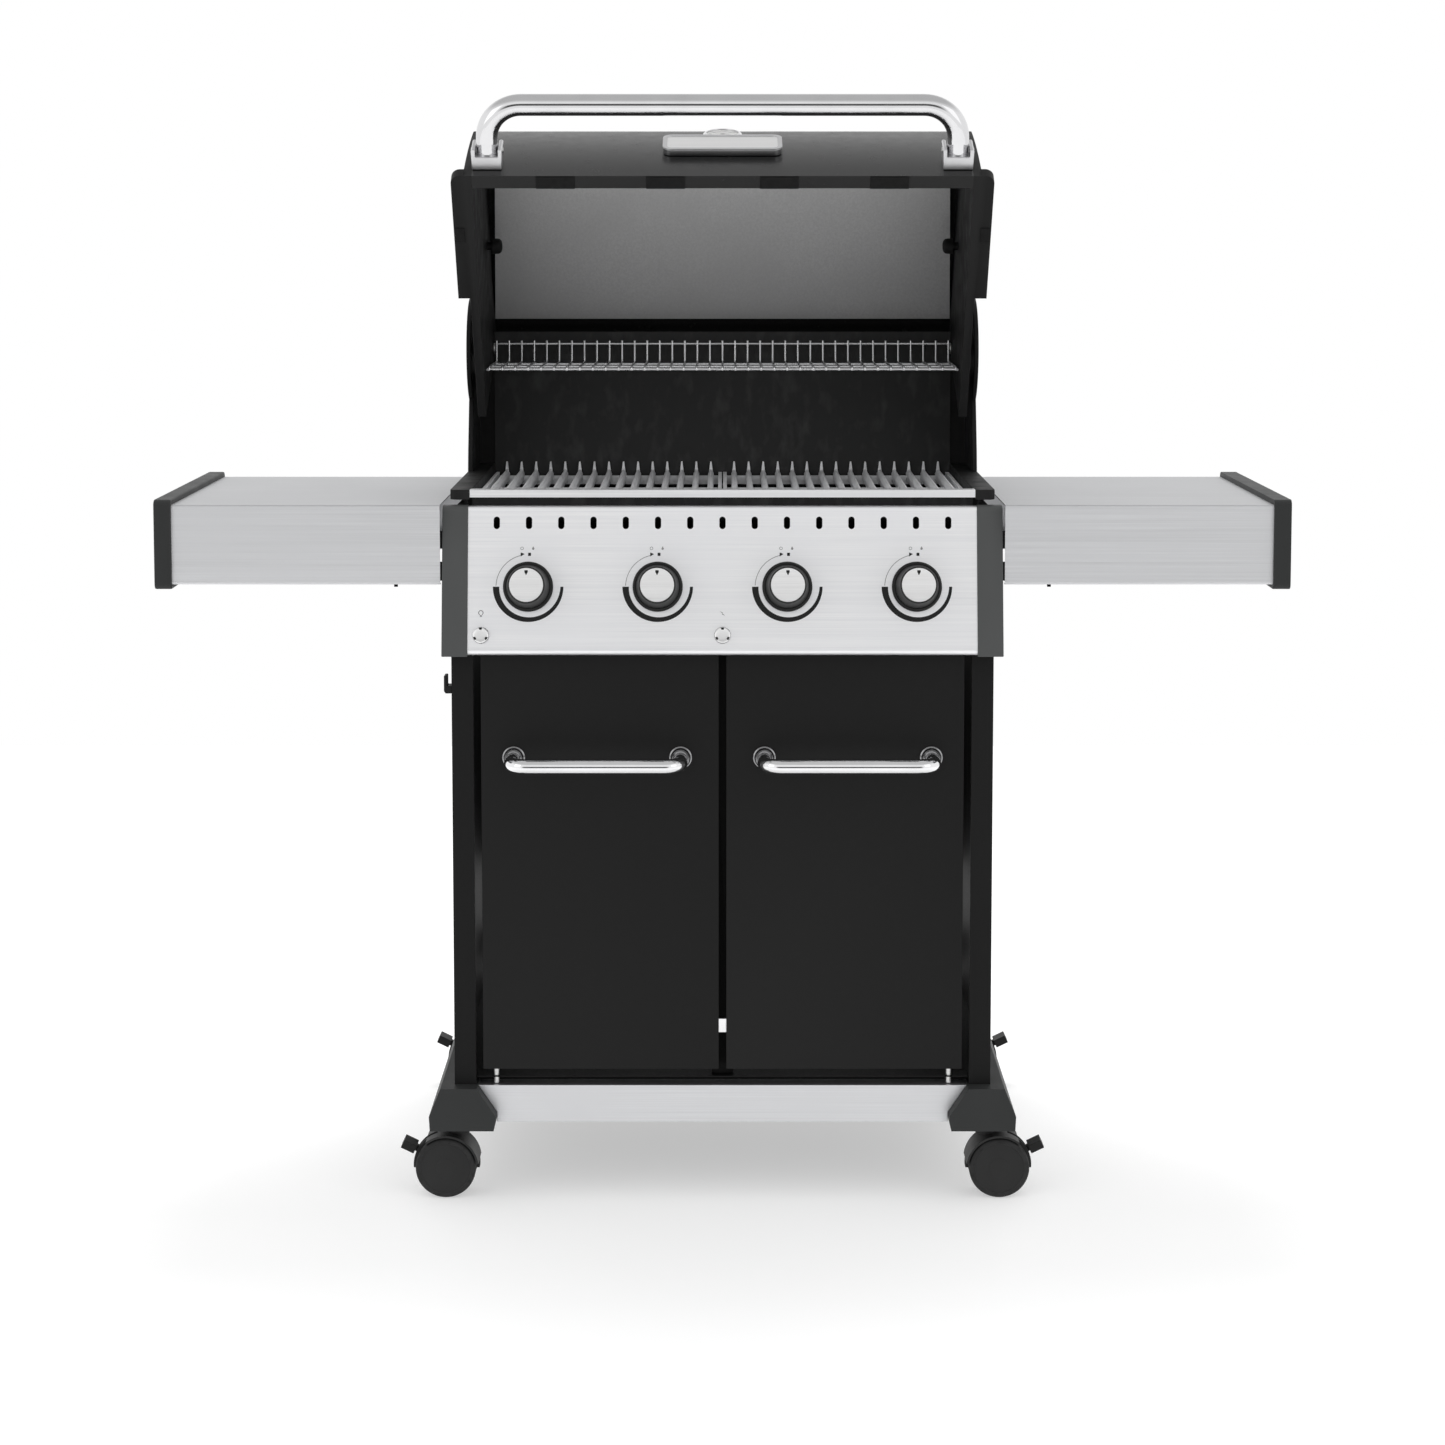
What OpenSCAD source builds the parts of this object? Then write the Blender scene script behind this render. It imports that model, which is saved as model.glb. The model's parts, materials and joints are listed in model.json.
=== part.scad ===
// Gas barbecue grill with four burners, a hinged lid held open by hinge friction, two fold-down side
// shelves and a two-door cart on four braked casters.
// Millimetres. X to the right, Y to the back, Z up. The origin is on the ground, under the middle of
// the footprint. Front-to-back places are written as distances behind the front edge of the shelves,
// and at_front() moves them to the origin.

/* [Overall] */
// Width over the shelf end caps
overall_w = 1450; // [1420:2:1500]
// Height of the side shelf tops
shelf_z = 916; // [912:1:920]
// Depth of the side shelves
shelf_d = 427; // [410:1:430]
// Height of a shelf skirt
shelf_skirt_h = 102; // [96:1:104]

/* [Cart] */
// Width over the side panels
cart_w = 698; // [696:1:700]
// Height of the foot beams' top face
beam_top_z = 156; // [154:1:158]
// Length of the foot beams
beam_len = 606.5; // [600:0.5:606.5]
// Height of the doors' lower edge
door_bottom_z = 178; // [176:1:182]
// Height of the doors' upper edge
door_top_z = 721; // [700:1:722]
// Distance between the two doors
door_gap = 10; // [8:1:14]
// How far a door handle stands in front of its door
door_handle_reach = 67; // [60:1:67]

/* [Casters] */
// Wheel radius
wheel_r = 39.5; // [38:0.5:40]
// Distance between front and rear casters
caster_pitch = 515; // [500:5:520]
// Offset from the swivel axis to the wheel axis
caster_trail = 18; // [17:0.5:19]

/* [Control panel] */
// Backward lean of the panel in degrees
panel_lean = 10; // [9:0.5:11]
// Distance between the knobs
knob_pitch = 165.3; // [160:0.1:168]
// Radius of a knob's fixed bezel
bezel_r = 32; // [30:0.5:34]
// How far a knob's face stands in front of the panel
knob_reach = 43; // [40:0.5:46]
// Number of vent slots
vent_count = 15; // [11:2:17]
// Distance between vent slots
vent_pitch = 41.2; // [36:0.1:42]

/* [Cook box] */
// Height of the flange that the lid closes on
flange_z = 934; // [933:0.5:934]
// Number of bars in each of the two cooking grates
grate_bars = 15; // [13:1:15]
// Height of the warming rack's wires
rack_z = 1078; // [1064:1:1078]
// Number of cross wires in the warming rack
rack_wires = 37; // [25:2:37]

/* [Lid] */
// Angle from the closed lid to the open lid
open_angle = 55; // [50:1:58]
// Slope of the closed lid's front face at the rim
face_angle = 80; // [79:1:81]
// Length of the gently curved front face from the rim to the bend
face_len = 185; // [182:1:188]
// How far the front face turns over that length, in degrees
face_turn = 12; // [11:1:13]
// Radius of the bend between the front face and the top
lid_bend_r = 70; // [66:1:74]
// Distance of the handle bar from the front face
handle_reach = 82; // [75:1:85]
// Radius of the handle tube
handle_r = 14; // [12:0.5:14]

/* [Hidden] */
$fn = 48;

// Gaps: a pin turning in its hole, and two moving pieces side by side
run_gap = 0.05;
side_gap = 0.4;
// Wall of the handle tubes
tube_wall = 2;
// From the shelves' front edge to the middle of the footprint
middle_y = 271;

// Finishes
steel = [0.80, 0.80, 0.81];
chrome = [0.88, 0.88, 0.90];
black = [0.10, 0.10, 0.10];
enamel = [0.14, 0.14, 0.14];
casting = [0.30, 0.31, 0.31];
plastic = [0.20, 0.20, 0.20];
rubber = [0.08, 0.08, 0.08];
brass = [0.72, 0.58, 0.30];

// Cart
side_x = cart_w / 2;
sheet = 1.6;
leg_w = 28;
leg_y = 20;
cart_back_y = 592;
side_top_z = 905;
beam_front_y = -3;
beam_back_y = beam_front_y + beam_len;
beam_bottom_z = 100;
beam_wall = 2.6;
beam_in = [319, 294];
beam_bend_z = 119;
base_z = 166;
header_z = 723;
rear_panel_z = 330;

// Doors
door_front_y = 15;
door_depth = 20;
door_inner_x = door_gap / 2;
door_outer_x = 311;
hinge_x = 295;
hinge_y = 30;
hinge_pin_r = 4;
door_handle_z = 588;
door_handle_r = 9.5;
door_handle_bend = 22;
door_handle_x0 = 54;
door_handle_x1 = 269;

// Casters
stem_x = 345;
stem_r = 5.5;
caster_front_y = 57;
caster_rear_y = caster_front_y + caster_pitch;
hood_r = wheel_r + 4;
fork_w = 14;
wheel_w = 17;
axle_r = 4;
brake_pivot = [24, 13.4];
brake_angle = 26;

// Control panel: its lower edge, and its size
panel_y = -20;
panel_z = 725;
panel_len = 191;
panel_half = 325;
cap_w = 33;
knob_v = 88.3;
stem_hole_r = 4;
vent_v = 170;
button_v = 26.4;
button_r = 10.25;
light_x = -308;

// Cook box
box_half = 321.5;
flange_in_x = 324;
lip_y = 20;
tub_top_z = 924;
rear_wall_y = 439;
rear_wall_top = 1120;
burner_z = 850;
burner_r = 12.5;
plate_z = burner_z + 20;
ledge_z = 905;
grate_h = 21;
tower_x = 343;
tower_arc = [362, 1097];
tower_arc_r = 74;
tower_back_y = 452;

// Lid hinge and lid outline
pivot = [421.6, 1097.2];
pivot_r = 5;
rim = [20, 936];
rim_depth = 19;
rim_h = 16;
lid_wall = 1.6;
lid_half = 322;
lid_side = 333;
lid_back_y = 460;
lid_back_z = 1107;
back_bend_r = 30;
liner_gap = 12;
face_r = face_len / face_turn * 180 / PI;
face_centre = rim + face_r * [sin(face_angle), -cos(face_angle)];
bend_angle = 90 + face_angle - face_turn;
bend_centre = face_centre + (face_r - lid_bend_r) * [cos(bend_angle), sin(bend_angle)];
lid_top_z = bend_centre[1] + lid_bend_r;
handle_x = 303;
handle_s = 37;
handle_bend = 45;
badge_s = 97;
thermo_s = 156;

// Shelves
shelf_x0 = 360.5;
shelf_cap_w = 22;
shelf_x1 = overall_w / 2 - shelf_cap_w;
fold = [420, 828];
fold_pin_r = 4;
arm_y = [26, 411];
arm_w = 6;

// Drip tray
tray_half = 256;
tray_y0 = 88;
tray_y1 = 428;
tray_z = 741.9;
tray_h = 20;

// Places a piece drawn from the shelves' front edge
module at_front() translate([0, -middle_y, 0]) children();

// A box between two corners
module box(x0, x1, y0, y1, z0, z1) translate([x0, y0, z0]) cube([x1 - x0, y1 - y0, z1 - z0]);

// An outline in Y and Z, extruded from x0 to x1
module slab_x(x0, x1) translate([x0, 0, 0]) rotate([90, 0, 90]) linear_extrude(x1 - x0) children();

// An outline in X and Z, extruded from y0 to y1
module slab_y(y0, y1) translate([0, y1, 0]) rotate([90, 0, 0]) linear_extrude(y1 - y0) children();

// A right-hand piece, or its mirror image on the left
module on_side(s) {
    if (s < 0) mirror([1, 0, 0]) children();
    else children();
}

// A cylinder along X from x0 to x1, or along Y from y0 to y1
module rod_x(r, x0, x1) translate([x0, 0, 0]) rotate([0, 90, 0]) cylinder(r = r, h = x1 - x0);
module rod_y(r, y0, y1) translate([0, y1, 0]) rotate([90, 0, 0]) cylinder(r = r, h = y1 - y0);

// The points of an arc about c
function around(c, r, a) = c + r * [cos(a), sin(a)];
function arc(c, r, a0, a1, n) = [for (i = [0 : n]) around(c, r, a0 + (a1 - a0) * i / n)];
function reversed(list) = [for (i = [len(list) - 1 : -1 : 0]) list[i]];

// A bent tube: two legs standing on z = 0 at x0 and x1, joined by a bar at height reach
module bow(x0, x1, reach, bend, r) {
    difference() {
        bent_rod(x0, x1, reach, bend, r);
        translate([0, 0, -1]) bent_rod(x0, x1, reach + 1, bend, r - tube_wall);
    }
}

module bent_rod(x0, x1, reach, bend, r) {
    for (x = [x0, x1])
        translate([x, 0, 0]) cylinder(r = r, h = reach - bend);
    translate([0, 0, reach]) rod_x(r, x0 + bend, x1 - bend);
    translate([x1 - bend, 0, reach - bend])
        rotate([90, 0, 0]) rotate_extrude(angle = 90) translate([bend, 0]) circle(r = r);
    translate([x0 + bend, 0, reach - bend])
        mirror([1, 0, 0]) rotate([90, 0, 0]) rotate_extrude(angle = 90) translate([bend, 0]) circle(r = r);
}

// ---------------------------------------------------------------- cart

// The foot beam's section, right-hand side, shrunk by t
function beam_section(t) = [
    [beam_in[0] + t, beam_top_z - t], [366 - 0.7 * t, beam_top_z - t], [381 - t, beam_bend_z],
    [380 - t, t > 0 ? beam_bottom_z - 1 : beam_bottom_z],
    [297 + t, t > 0 ? beam_bottom_z - 1 : beam_bottom_z], [beam_in[1] + t, beam_bend_z]
];

module foot_beam() {
    difference() {
        union() {
            difference() {
                slab_y(beam_front_y, beam_back_y) polygon(beam_section(0));
                slab_y(beam_front_y + beam_wall, beam_back_y - beam_wall) polygon(beam_section(beam_wall));
            }
            for (y = [caster_front_y, caster_rear_y]) {
                translate([stem_x, y, beam_bottom_z + 1])
                    cylinder(r = 12, h = beam_top_z - beam_bottom_z - 2);
                slab_y(y - 1.5, y + 1.5)
                    polygon([[320, beam_top_z - 1], [365, beam_top_z - 1], [379, beam_bend_z],
                             [379, 103], [296, 103], [296, beam_bend_z]]);
            }
        }
        for (y = [caster_front_y, caster_rear_y])
            translate([stem_x, y, beam_bottom_z - 1])
                cylinder(r = stem_r + run_gap, h = beam_top_z - beam_bottom_z - 4);
    }
}

module foot_beams() {
    color(casting) at_front()
        for (s = [-1, 1])
            on_side(s) foot_beam();
}

// Sheet floor of the cart with turned-down edges and a hole for each lower hinge pin
module base_shelf() {
    half = side_x - sheet;
    front_half = side_x - leg_w - 0.5;
    color(black) at_front()
        difference() {
            union() {
                box(-half, half, leg_y + 16, cart_back_y - 4, base_z - 1.4, base_z);
                box(-front_half, front_half, leg_y + 4, leg_y + 17, base_z - 1.4, base_z);
                box(-half, half, leg_y + 24, leg_y + 26, beam_top_z, base_z);
                box(-half, half, cart_back_y - 6, cart_back_y - 4, beam_top_z, base_z);
            }
            for (s = [-1, 1])
                translate([s * hinge_x, hinge_y, base_z - 5]) cylinder(r = hinge_pin_r, h = 10);
        }
}

// Bright channel between the foot beams, its ends cut to the beams' slope
module lower_rail() {
    top = beam_top_z - 1;
    bottom = beam_bottom_z + 6;
    bend = beam_bend_z;
    wide = beam_in[0] - 25 / (beam_top_z - bend);
    slope = [[-beam_in[1], bottom], [beam_in[1], bottom], [beam_in[1], bend], [wide, top], [-wide, top],
             [-beam_in[1], bend]];
    color(steel) at_front()
        intersection() {
            slab_y(leg_y, leg_y + 30) polygon(slope);
            union() {
                box(-320, 320, leg_y, leg_y + sheet, bottom, top);
                box(-320, 320, leg_y, leg_y + 30, top - sheet, top);
                box(-320, 320, leg_y, leg_y + 30, bottom, bottom + sheet);
            }
        }
}

// Bent side panel: the outer wall with front and rear legs turned in
module side_panel(s) {
    wall = [
        [leg_y, beam_top_z], [cart_back_y, beam_top_z], [cart_back_y, 700],
        [455, side_top_z], [leg_y + 6, side_top_z], [leg_y + 6, door_top_z], [leg_y, door_top_z]
    ];
    color(black) at_front() on_side(s) {
        slab_x(side_x - sheet, side_x) polygon(wall);
        box(side_x - leg_w, side_x, leg_y, leg_y + sheet, beam_top_z, door_top_z);
        box(side_x - leg_w, side_x - leg_w + sheet, leg_y, leg_y + 14, beam_top_z, door_top_z);
        box(side_x - leg_w, side_x, cart_back_y - sheet, cart_back_y, beam_top_z, 700);
    }
}

// Upright behind the gap between the doors, with the catch plate that they close on
module centre_stile() {
    color(black) at_front() {
        box(-14, 14, 38, 40, base_z, header_z);
        box(-8, 8, 36.5, 38.5, 219, 241);
    }
}

// Front header over the doors, and at the back two braces and a panel below the upper one
module cross_rails() {
    half = side_x - sheet;
    back_y = cart_back_y - sheet;
    color(black) at_front()
        difference() {
            union() {
                box(-half, half, leg_y + 2, leg_y + 18, header_z, header_z + 2);
                box(-panel_half + 5, panel_half - 5, leg_y - 12, leg_y + 3, header_z, header_z + 2);
                box(-half, half, leg_y + 16, leg_y + 18, header_z, header_z + 20);
                for (z = [640, 186]) {
                    box(-half, half, back_y - 20, back_y, z, z + 2);
                    box(-half, half, back_y - 2, back_y, z, z + 46);
                }
                box(-half, half, back_y - 1.2, back_y, rear_panel_z, 641);
            }
            for (s = [-1, 1])
                translate([s * hinge_x, hinge_y, header_z - 1]) cylinder(r = hinge_pin_r, h = 4);
        }
}

// Arms bolted to the side panels, each with the pin that a shelf folds on and a lock stud
module shelf_brackets() {
    color(black) at_front()
        for (s = [-1, 1])
            on_side(s) {
                box(side_x, side_x + 3, arm_y[0], arm_y[1] + arm_w, fold[1] - 12, fold[1] + 12);
                for (y = arm_y) {
                    box(side_x, fold[0], y, y + arm_w, fold[1] - 12, fold[1] + 12);
                    translate([fold[0], 0, fold[1]]) {
                        rod_y(12, y, y + arm_w);
                        rod_y(fold_pin_r, y - 5, y + arm_w + 5);
                    }
                }
                translate([fold[0], arm_y[0] + arm_w / 2, fold[1] - 20]) cylinder(r = 2.5, h = 12);
            }
}

// Small block with a turned-up lip on the left leg, for hanging a tool
module side_hook() {
    color(plastic) at_front() on_side(-1)
        slab_y(leg_y + 2, leg_y + 24)
            polygon([[side_x, 670], [side_x + 8, 670], [side_x + 10, 673], [side_x + 10, 693],
                     [side_x + 6, 693], [side_x + 6, 680], [side_x, 680]]);
}

// ---------------------------------------------------------------- cook box

// Outline of the tower that carries the lid hinge
module tower_outline() {
    difference() {
        union() {
            polygon([[300, flange_z - 6], [306, 960], [327, 1026], tower_arc,
                     tower_arc + [0, tower_arc_r],
                     [tower_back_y - 30, tower_arc[1] + tower_arc_r - 12],
                     [tower_back_y, tower_arc[1] + tower_arc_r - 42], [tower_back_y, flange_z - 6]]);
            translate(tower_arc) circle(r = tower_arc_r);
        }
        translate(pivot) circle(r = pivot_r);
    }
}

// Cast end of the cook box: wall, flange with a turned-down lip, hinge tower, and two feet
module firebox_end(s) {
    color(black) at_front() on_side(s) {
        difference() {
            union() {
                box(box_half, 328, 37, rear_wall_y, 770, flange_z - 3);
                box(flange_in_x, side_x, lip_y, tower_back_y, flange_z - 6, flange_z);
                box(box_half, flange_in_x + 1, 37, rear_wall_y, flange_z - 6, flange_z);
                box(tower_x, side_x, lip_y, tower_back_y, flange_z - 13, flange_z - 3);
                box(box_half, tower_x + 1, rear_wall_y, rear_wall_y + 4, flange_z - 6, 1066);
                box(flange_in_x, side_x, lip_y, lip_y + 5, flange_z - 13, flange_z - 3);
                for (y = [90, 380])
                    box(327, side_x - sheet, y, y + 30, 860, 866);
            }
            translate([side_x, lip_y, flange_z - 20])
                rotate([0, 0, 45]) cube([8, 8, 50], center = true);
        }
        slab_x(tower_x, side_x) tower_outline();
    }
}

// The tub's line from the front rim to the top of the rear wall, moved inwards by t
function tub_line(t) = [
    [34 + t, tub_top_z], [34 + t, 893 + t / 2], [78 + t, 868 + t / 2], [78 + t, 800 + t],
    [200, 772 + t], [260, 772 + t], [rear_wall_y - t, 800 + t], [rear_wall_y - t, rear_wall_top]
];

// Sheet tub: front wall, funnel floor with a drain, tall rear wall, grate ledges and tray hangers
module firebox_tub() {
    color(black) at_front() {
        difference() {
            union() {
                slab_x(-box_half, box_half) polygon(concat(tub_line(0), reversed(tub_line(2))));
                for (z = [ledge_z, plate_z])
                    box(-box_half, box_half, rear_wall_y - 12, rear_wall_y - 1, z - 2, z);
                box(-box_half, box_half, 35, 46, ledge_z - 2, ledge_z);
                box(-box_half, box_half, 79, 90, plate_z - 2, plate_z);
            }
            box(-40, 40, 202, 258, 765, 780);
            for (i = [-1.5 : 1 : 1.5])
                translate([i * knob_pitch, 0, burner_z]) rod_y(burner_r + 0.5, 70, 90);
        }
        for (s = [-1, 1])
            on_side(s) {
                slab_x(268, 270)
                    polygon([[90, 738], [425, 738], [425, 798.5], [260, 773], [200, 773], [90, 798.5]]);
                box(258, 270, 90, 425, 738, 740);
            }
    }
}

// Bright strip along the front of the cook box
module front_lip() {
    half = flange_in_x - 0.3;
    color(steel) at_front() {
        box(-half, half, lip_y, lip_y + 1.5, tub_top_z, flange_z);
        box(-half, half, lip_y, 36.8, flange_z - 1.5, flange_z);
        box(-half, half, 34, 36.8, tub_top_z, flange_z);
    }
}

// Two grates of bars that run from front to back on three cross bars, with a flat rail at each side
// and a pointed stop at the back of every bar
module cooking_grates() {
    x0 = 0.9;
    x1 = 320;
    pitch = (x1 - x0) / (grate_bars + 0.5);
    bar = 8;
    rail = 5;
    stop_h = 11;
    stop_d = 5;
    ridge = ledge_z + grate_h;
    y0 = 37;
    y1 = rear_wall_y - 3;
    color(casting) at_front()
        for (s = [-1, 1])
            on_side(s) {
                for (i = [0 : grate_bars - 1])
                    translate([x0 + (i + 0.75) * pitch, 0, 0]) {
                        slab_y(y0, y1)
                            polygon([[-bar / 2, ledge_z + 6], [bar / 2, ledge_z + 6],
                                     [bar / 2, ledge_z + 15], [1, ridge], [-1, ridge],
                                     [-bar / 2, ledge_z + 15]]);
                        slab_y(y1 - stop_d, y1)
                            polygon([[-bar / 2, ledge_z + 6], [bar / 2, ledge_z + 6], [1, ridge + stop_h],
                                     [-1, ridge + stop_h]]);
                    }
                for (y = [y0, (y0 + y1) / 2, y1 - bar])
                    box(x0, x1, y, y + bar, ledge_z, ledge_z + 12);
                for (x = [x0, x1 - rail])
                    box(x, x + rail, y0, y1, ledge_z + 6, ledge_z + 17);
            }
}

// Wire rack with a row of upright guard wires at the back, on two side arms
module warming_rack() {
    wire = 3;
    y0 = 270;
    y1 = 412;
    pitch = 17.6 * 36 / (rack_wires - 1);
    color(steel) at_front() {
        for (y = [y0, (y0 + y1) / 2, y1])
            box(-318, 318, y, y + wire + 1, rack_z - wire, rack_z);
        box(-317, 317, y1, y1 + wire, rack_z + 24, rack_z + 27);
        for (i = [-(rack_wires - 1) / 2 : (rack_wires - 1) / 2]) {
            box(i * pitch - 1.5, i * pitch + 1.5, y0 + 1, y1 + wire, rack_z - 1, rack_z + wire - 1);
            box(i * pitch - 1.5, i * pitch + 1.5, y1, y1 + wire, rack_z - 1, rack_z + 31);
        }
        for (x = [-320, 317])
            box(x, x + 3, y0, rear_wall_y - 2, rack_z - 5, rack_z + 2);
    }
}

// Four ceramic electrodes beside the burners, the igniter behind its button, and the light's switch
module igniter_set() {
    color(plastic) {
        on_panel() {
            translate([-20, button_v - 16, -36]) cube([40, 36, 12]);
            translate([light_x - 11, button_v - 12, -36]) cube([22, 24, 12]);
            for (x = [light_x, 0])
                translate([x, button_v, -24.5])
                    difference() {
                        cylinder(r = button_r + 3, h = 22.9);
                        translate([0, 0, 0.5]) cylinder(r = button_r + side_gap, h = 30);
                    }
        }
        at_front()
            for (i = [-1.5 : 1 : 1.5])
                translate([i * knob_pitch + 20, 0, burner_z]) rod_y(3.5, 80, 124);
    }
}

// Thin tubes with closed ends, open to the gas valves at the front
module burner_tubes() {
    color(steel) at_front()
        for (i = [-1.5 : 1 : 1.5])
            translate([i * knob_pitch, 0, burner_z])
                difference() {
                    rod_y(burner_r, 60, rear_wall_y - 2);
                    rod_y(burner_r - 1.5, 59, rear_wall_y - 4);
                }
}

// Roof-shaped plates over the burners
module heat_plates() {
    roof = [[-40, 0], [-37, 0], [0, 17.5], [37, 0], [40, 0], [40, 1.7], [0, 19.7], [-40, 1.7]];
    color(steel) at_front()
        for (i = [-1.5 : 1 : 1.5])
            translate([i * knob_pitch, 0, plate_z]) slab_y(82, rear_wall_y - 3) polygon(roof);
}

// Gas pipe with four valves, their outlets to the burners, and the hose fitting that points down
module gas_manifold() {
    pipe = [42, 790];
    inlet_y = 64;
    color(brass) {
        at_front() {
            translate([0, pipe[0], pipe[1]]) rod_x(11, -300, 306);
            translate([290, 0, pipe[1]]) rod_y(9, pipe[0], inlet_y);
            translate([290, inlet_y, 715]) cylinder(r = 9, h = pipe[1] - 715 + 4);
            translate([290, inlet_y, 690]) cylinder(r = 7.9, h = 26);
            for (i = [-1.5 : 1 : 1.5])
                translate([i * knob_pitch, 0, 0]) {
                    translate([0, 46, 800]) cylinder(r = 6, h = burner_z - 794);
                    translate([0, 0, burner_z]) rod_y(5, 46, 66);
                }
        }
        on_panel()
            for (i = [-1.5 : 1 : 1.5])
                translate([i * knob_pitch, knob_v, -50])
                    difference() {
                        cylinder(r = 12, h = 48.4);
                        translate([0, 0, 16]) cylinder(r = stem_hole_r + run_gap, h = 40);
                    }
    }
}

// ---------------------------------------------------------------- control panel

// The panel's own frame: x across, y up the panel from its lower edge, z out of its face
module on_panel() at_front() translate([0, panel_y, panel_z]) rotate([90 - panel_lean, 0, 0]) children();

// Where the lean puts the panel's top edge
function panel_top() = [panel_y + panel_len * sin(panel_lean), panel_z + panel_len * cos(panel_lean)];

// An upright slot with round ends
module vent_slot() {
    translate([0, 0, -10]) {
        for (v = [-4, 4])
            translate([0, v, 0]) cylinder(r = 4, h = 20);
        translate([-4, -4, 0]) cube([8, 8, 20]);
    }
}

// Bent steel face with vent slots, knob holes and button holes
module control_panel() {
    top = panel_top();
    t = 1.5;
    color(steel)
        difference() {
            at_front()
                slab_x(-panel_half, panel_half)
                    polygon([[14, panel_z], [panel_y, panel_z], top, [top[0] + 16, top[1]],
                             [top[0] + 16, top[1] - t], [top[0] + 1.2, top[1] - t],
                             [panel_y + 1.8, panel_z + t], [14, panel_z + t]]);
            on_panel() {
                for (i = [-(vent_count - 1) / 2 : (vent_count - 1) / 2])
                    translate([i * vent_pitch, vent_v, 0]) vent_slot();
                for (i = [-1.5 : 1 : 1.5])
                    translate([i * knob_pitch, knob_v, -10]) cylinder(r = 7, h = 20);
                for (x = [light_x, 0])
                    translate([x, button_v, -10]) cylinder(r = button_r + side_gap, h = 20);
            }
        }
}

// Moulded ends of the control panel
module panel_end_caps() {
    top = panel_top();
    outline = concat(
        [[12, panel_z - 1], [panel_y - 2, panel_z - 1]],
        arc([top[0] + 6, top[1] - 8], 9, 180 - panel_lean, 90, 5),
        [[top[0] + 16, top[1] + 1]]);
    color(casting) at_front()
        for (s = [-1, 1])
            on_side(s)
                difference() {
                    slab_x(panel_half, panel_half + cap_w) polygon(outline);
                    slab_x(panel_half + 3, panel_half + cap_w - 3)
                        polygon([[13, panel_z + 2], [panel_y + 3, panel_z + 2], [top[0] + 4, top[1] - 4],
                                 [top[0] + 17, top[1] - 4], [top[0] + 17, top[1] - 60]]);
                }
}

// Dark rings round the knobs, fixed to the panel
module knob_bezels() {
    color(plastic) on_panel()
        for (i = [-1.5 : 1 : 1.5])
            translate([i * knob_pitch, knob_v, 0])
                rotate_extrude() polygon([[10, 0], [bezel_r, 0], [bezel_r, 2.5], [bezel_r - 3, 6], [10, 6]]);
}

// A knob with its valve stem
module knob(i) {
    top = knob_reach;
    color(plastic) on_panel()
        translate([(i - 2.5) * knob_pitch, knob_v, 0])
            rotate_extrude()
                polygon([[0, -33], [stem_hole_r, -33], [stem_hole_r, 6 + side_gap], [27.5, 6 + side_gap],
                         [27, 10], [24, 26], [23.5, top - 3], [22, top], [0, top]]);
}

// A push button: cap and stem
module button(x) {
    color(chrome) on_panel()
        translate([x, button_v, 0])
            rotate_extrude()
                polygon([[0, -18], [4, -18], [4, -6], [button_r, -6], [button_r, 5],
                         [button_r - 1.5, 6.5], [0, 6.5]]);
}

// ---------------------------------------------------------------- lid

// Turns a piece of the closed lid to the open position
module opened() {
    translate([0, -middle_y, 0])
        translate([0, pivot[0], pivot[1]])
            rotate([-open_angle, 0, 0])
                translate([0, -pivot[0], -pivot[1]])
                    children();
}

// The closed lid's front face at the distance s up from the rim: x across, y up the face, z out of it
module on_face(s) {
    lean = face_angle - s / face_len * face_turn;
    spot = face_centre + face_r * [-sin(lean), cos(lean)];
    opened() translate([0, spot[0], spot[1]]) rotate([lean, 0, 0]) children();
}

// The closed lid's line from the front bend over the top to the rear edge, moved inwards by t
function lid_bends(t) = concat(
    arc(bend_centre, lid_bend_r - t, bend_angle, 90, 12),
    arc([lid_back_y - back_bend_r, lid_top_z - back_bend_r], back_bend_r - t, 90, 0, 6),
    [[lid_back_y - t, lid_back_z]]);

// The curved front face from the distance s up to just below the bend, moved inwards by t
function lid_face(s, t) =
    arc(face_centre, face_r - t, 90 + face_angle - s / face_len * face_turn, bend_angle + face_turn / 8, 7);

// Bent sheet with a deep front rim
module lid_shell() {
    color(enamel)
        difference() {
            opened()
                slab_x(-lid_half, lid_half)
                    polygon(concat(
                        lid_face(0, 0), lid_bends(0),
                        reversed(lid_bends(lid_wall)), reversed(lid_face(rim_h, lid_wall)),
                        [rim + [rim_depth - 4, rim_h], rim + [rim_depth, rim_h - 4], rim + [rim_depth, 0]]));
            on_face(thermo_s) translate([0, 0, -30]) cylinder(r = 6, h = 40);
        }
}

// Cast end of the lid: side wall, rim flange, and the head of an inner bolt
module lid_end(s) {
    flange_back = 215;
    outline = concat(lid_face(0, 0), lid_bends(0), [[448, 1084], [434, 1066], [415, rim[1]]]);
    color(enamel) opened() on_side(s) {
        difference() {
            slab_x(lid_half, lid_side) polygon(outline);
            translate([0, pivot[0], pivot[1]]) rod_x(pivot_r + run_gap, lid_half - 1, lid_side + 1);
        }
        difference() {
            box(lid_side - 1, side_x, rim[0], flange_back, rim[1], rim[1] + rim_h);
            difference() {
                box(side_x - 12, side_x + 1, rim[0] - 1, rim[0] + 12, rim[1] - 1, rim[1] + rim_h + 1);
                translate([side_x - 12, rim[0] + 12, rim[1] - 2]) cylinder(r = 12, h = rim_h + 4);
            }
        }
        translate([0, 246, 1098]) rod_x(5.5, 314, lid_half + 1);
    }
}

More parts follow.
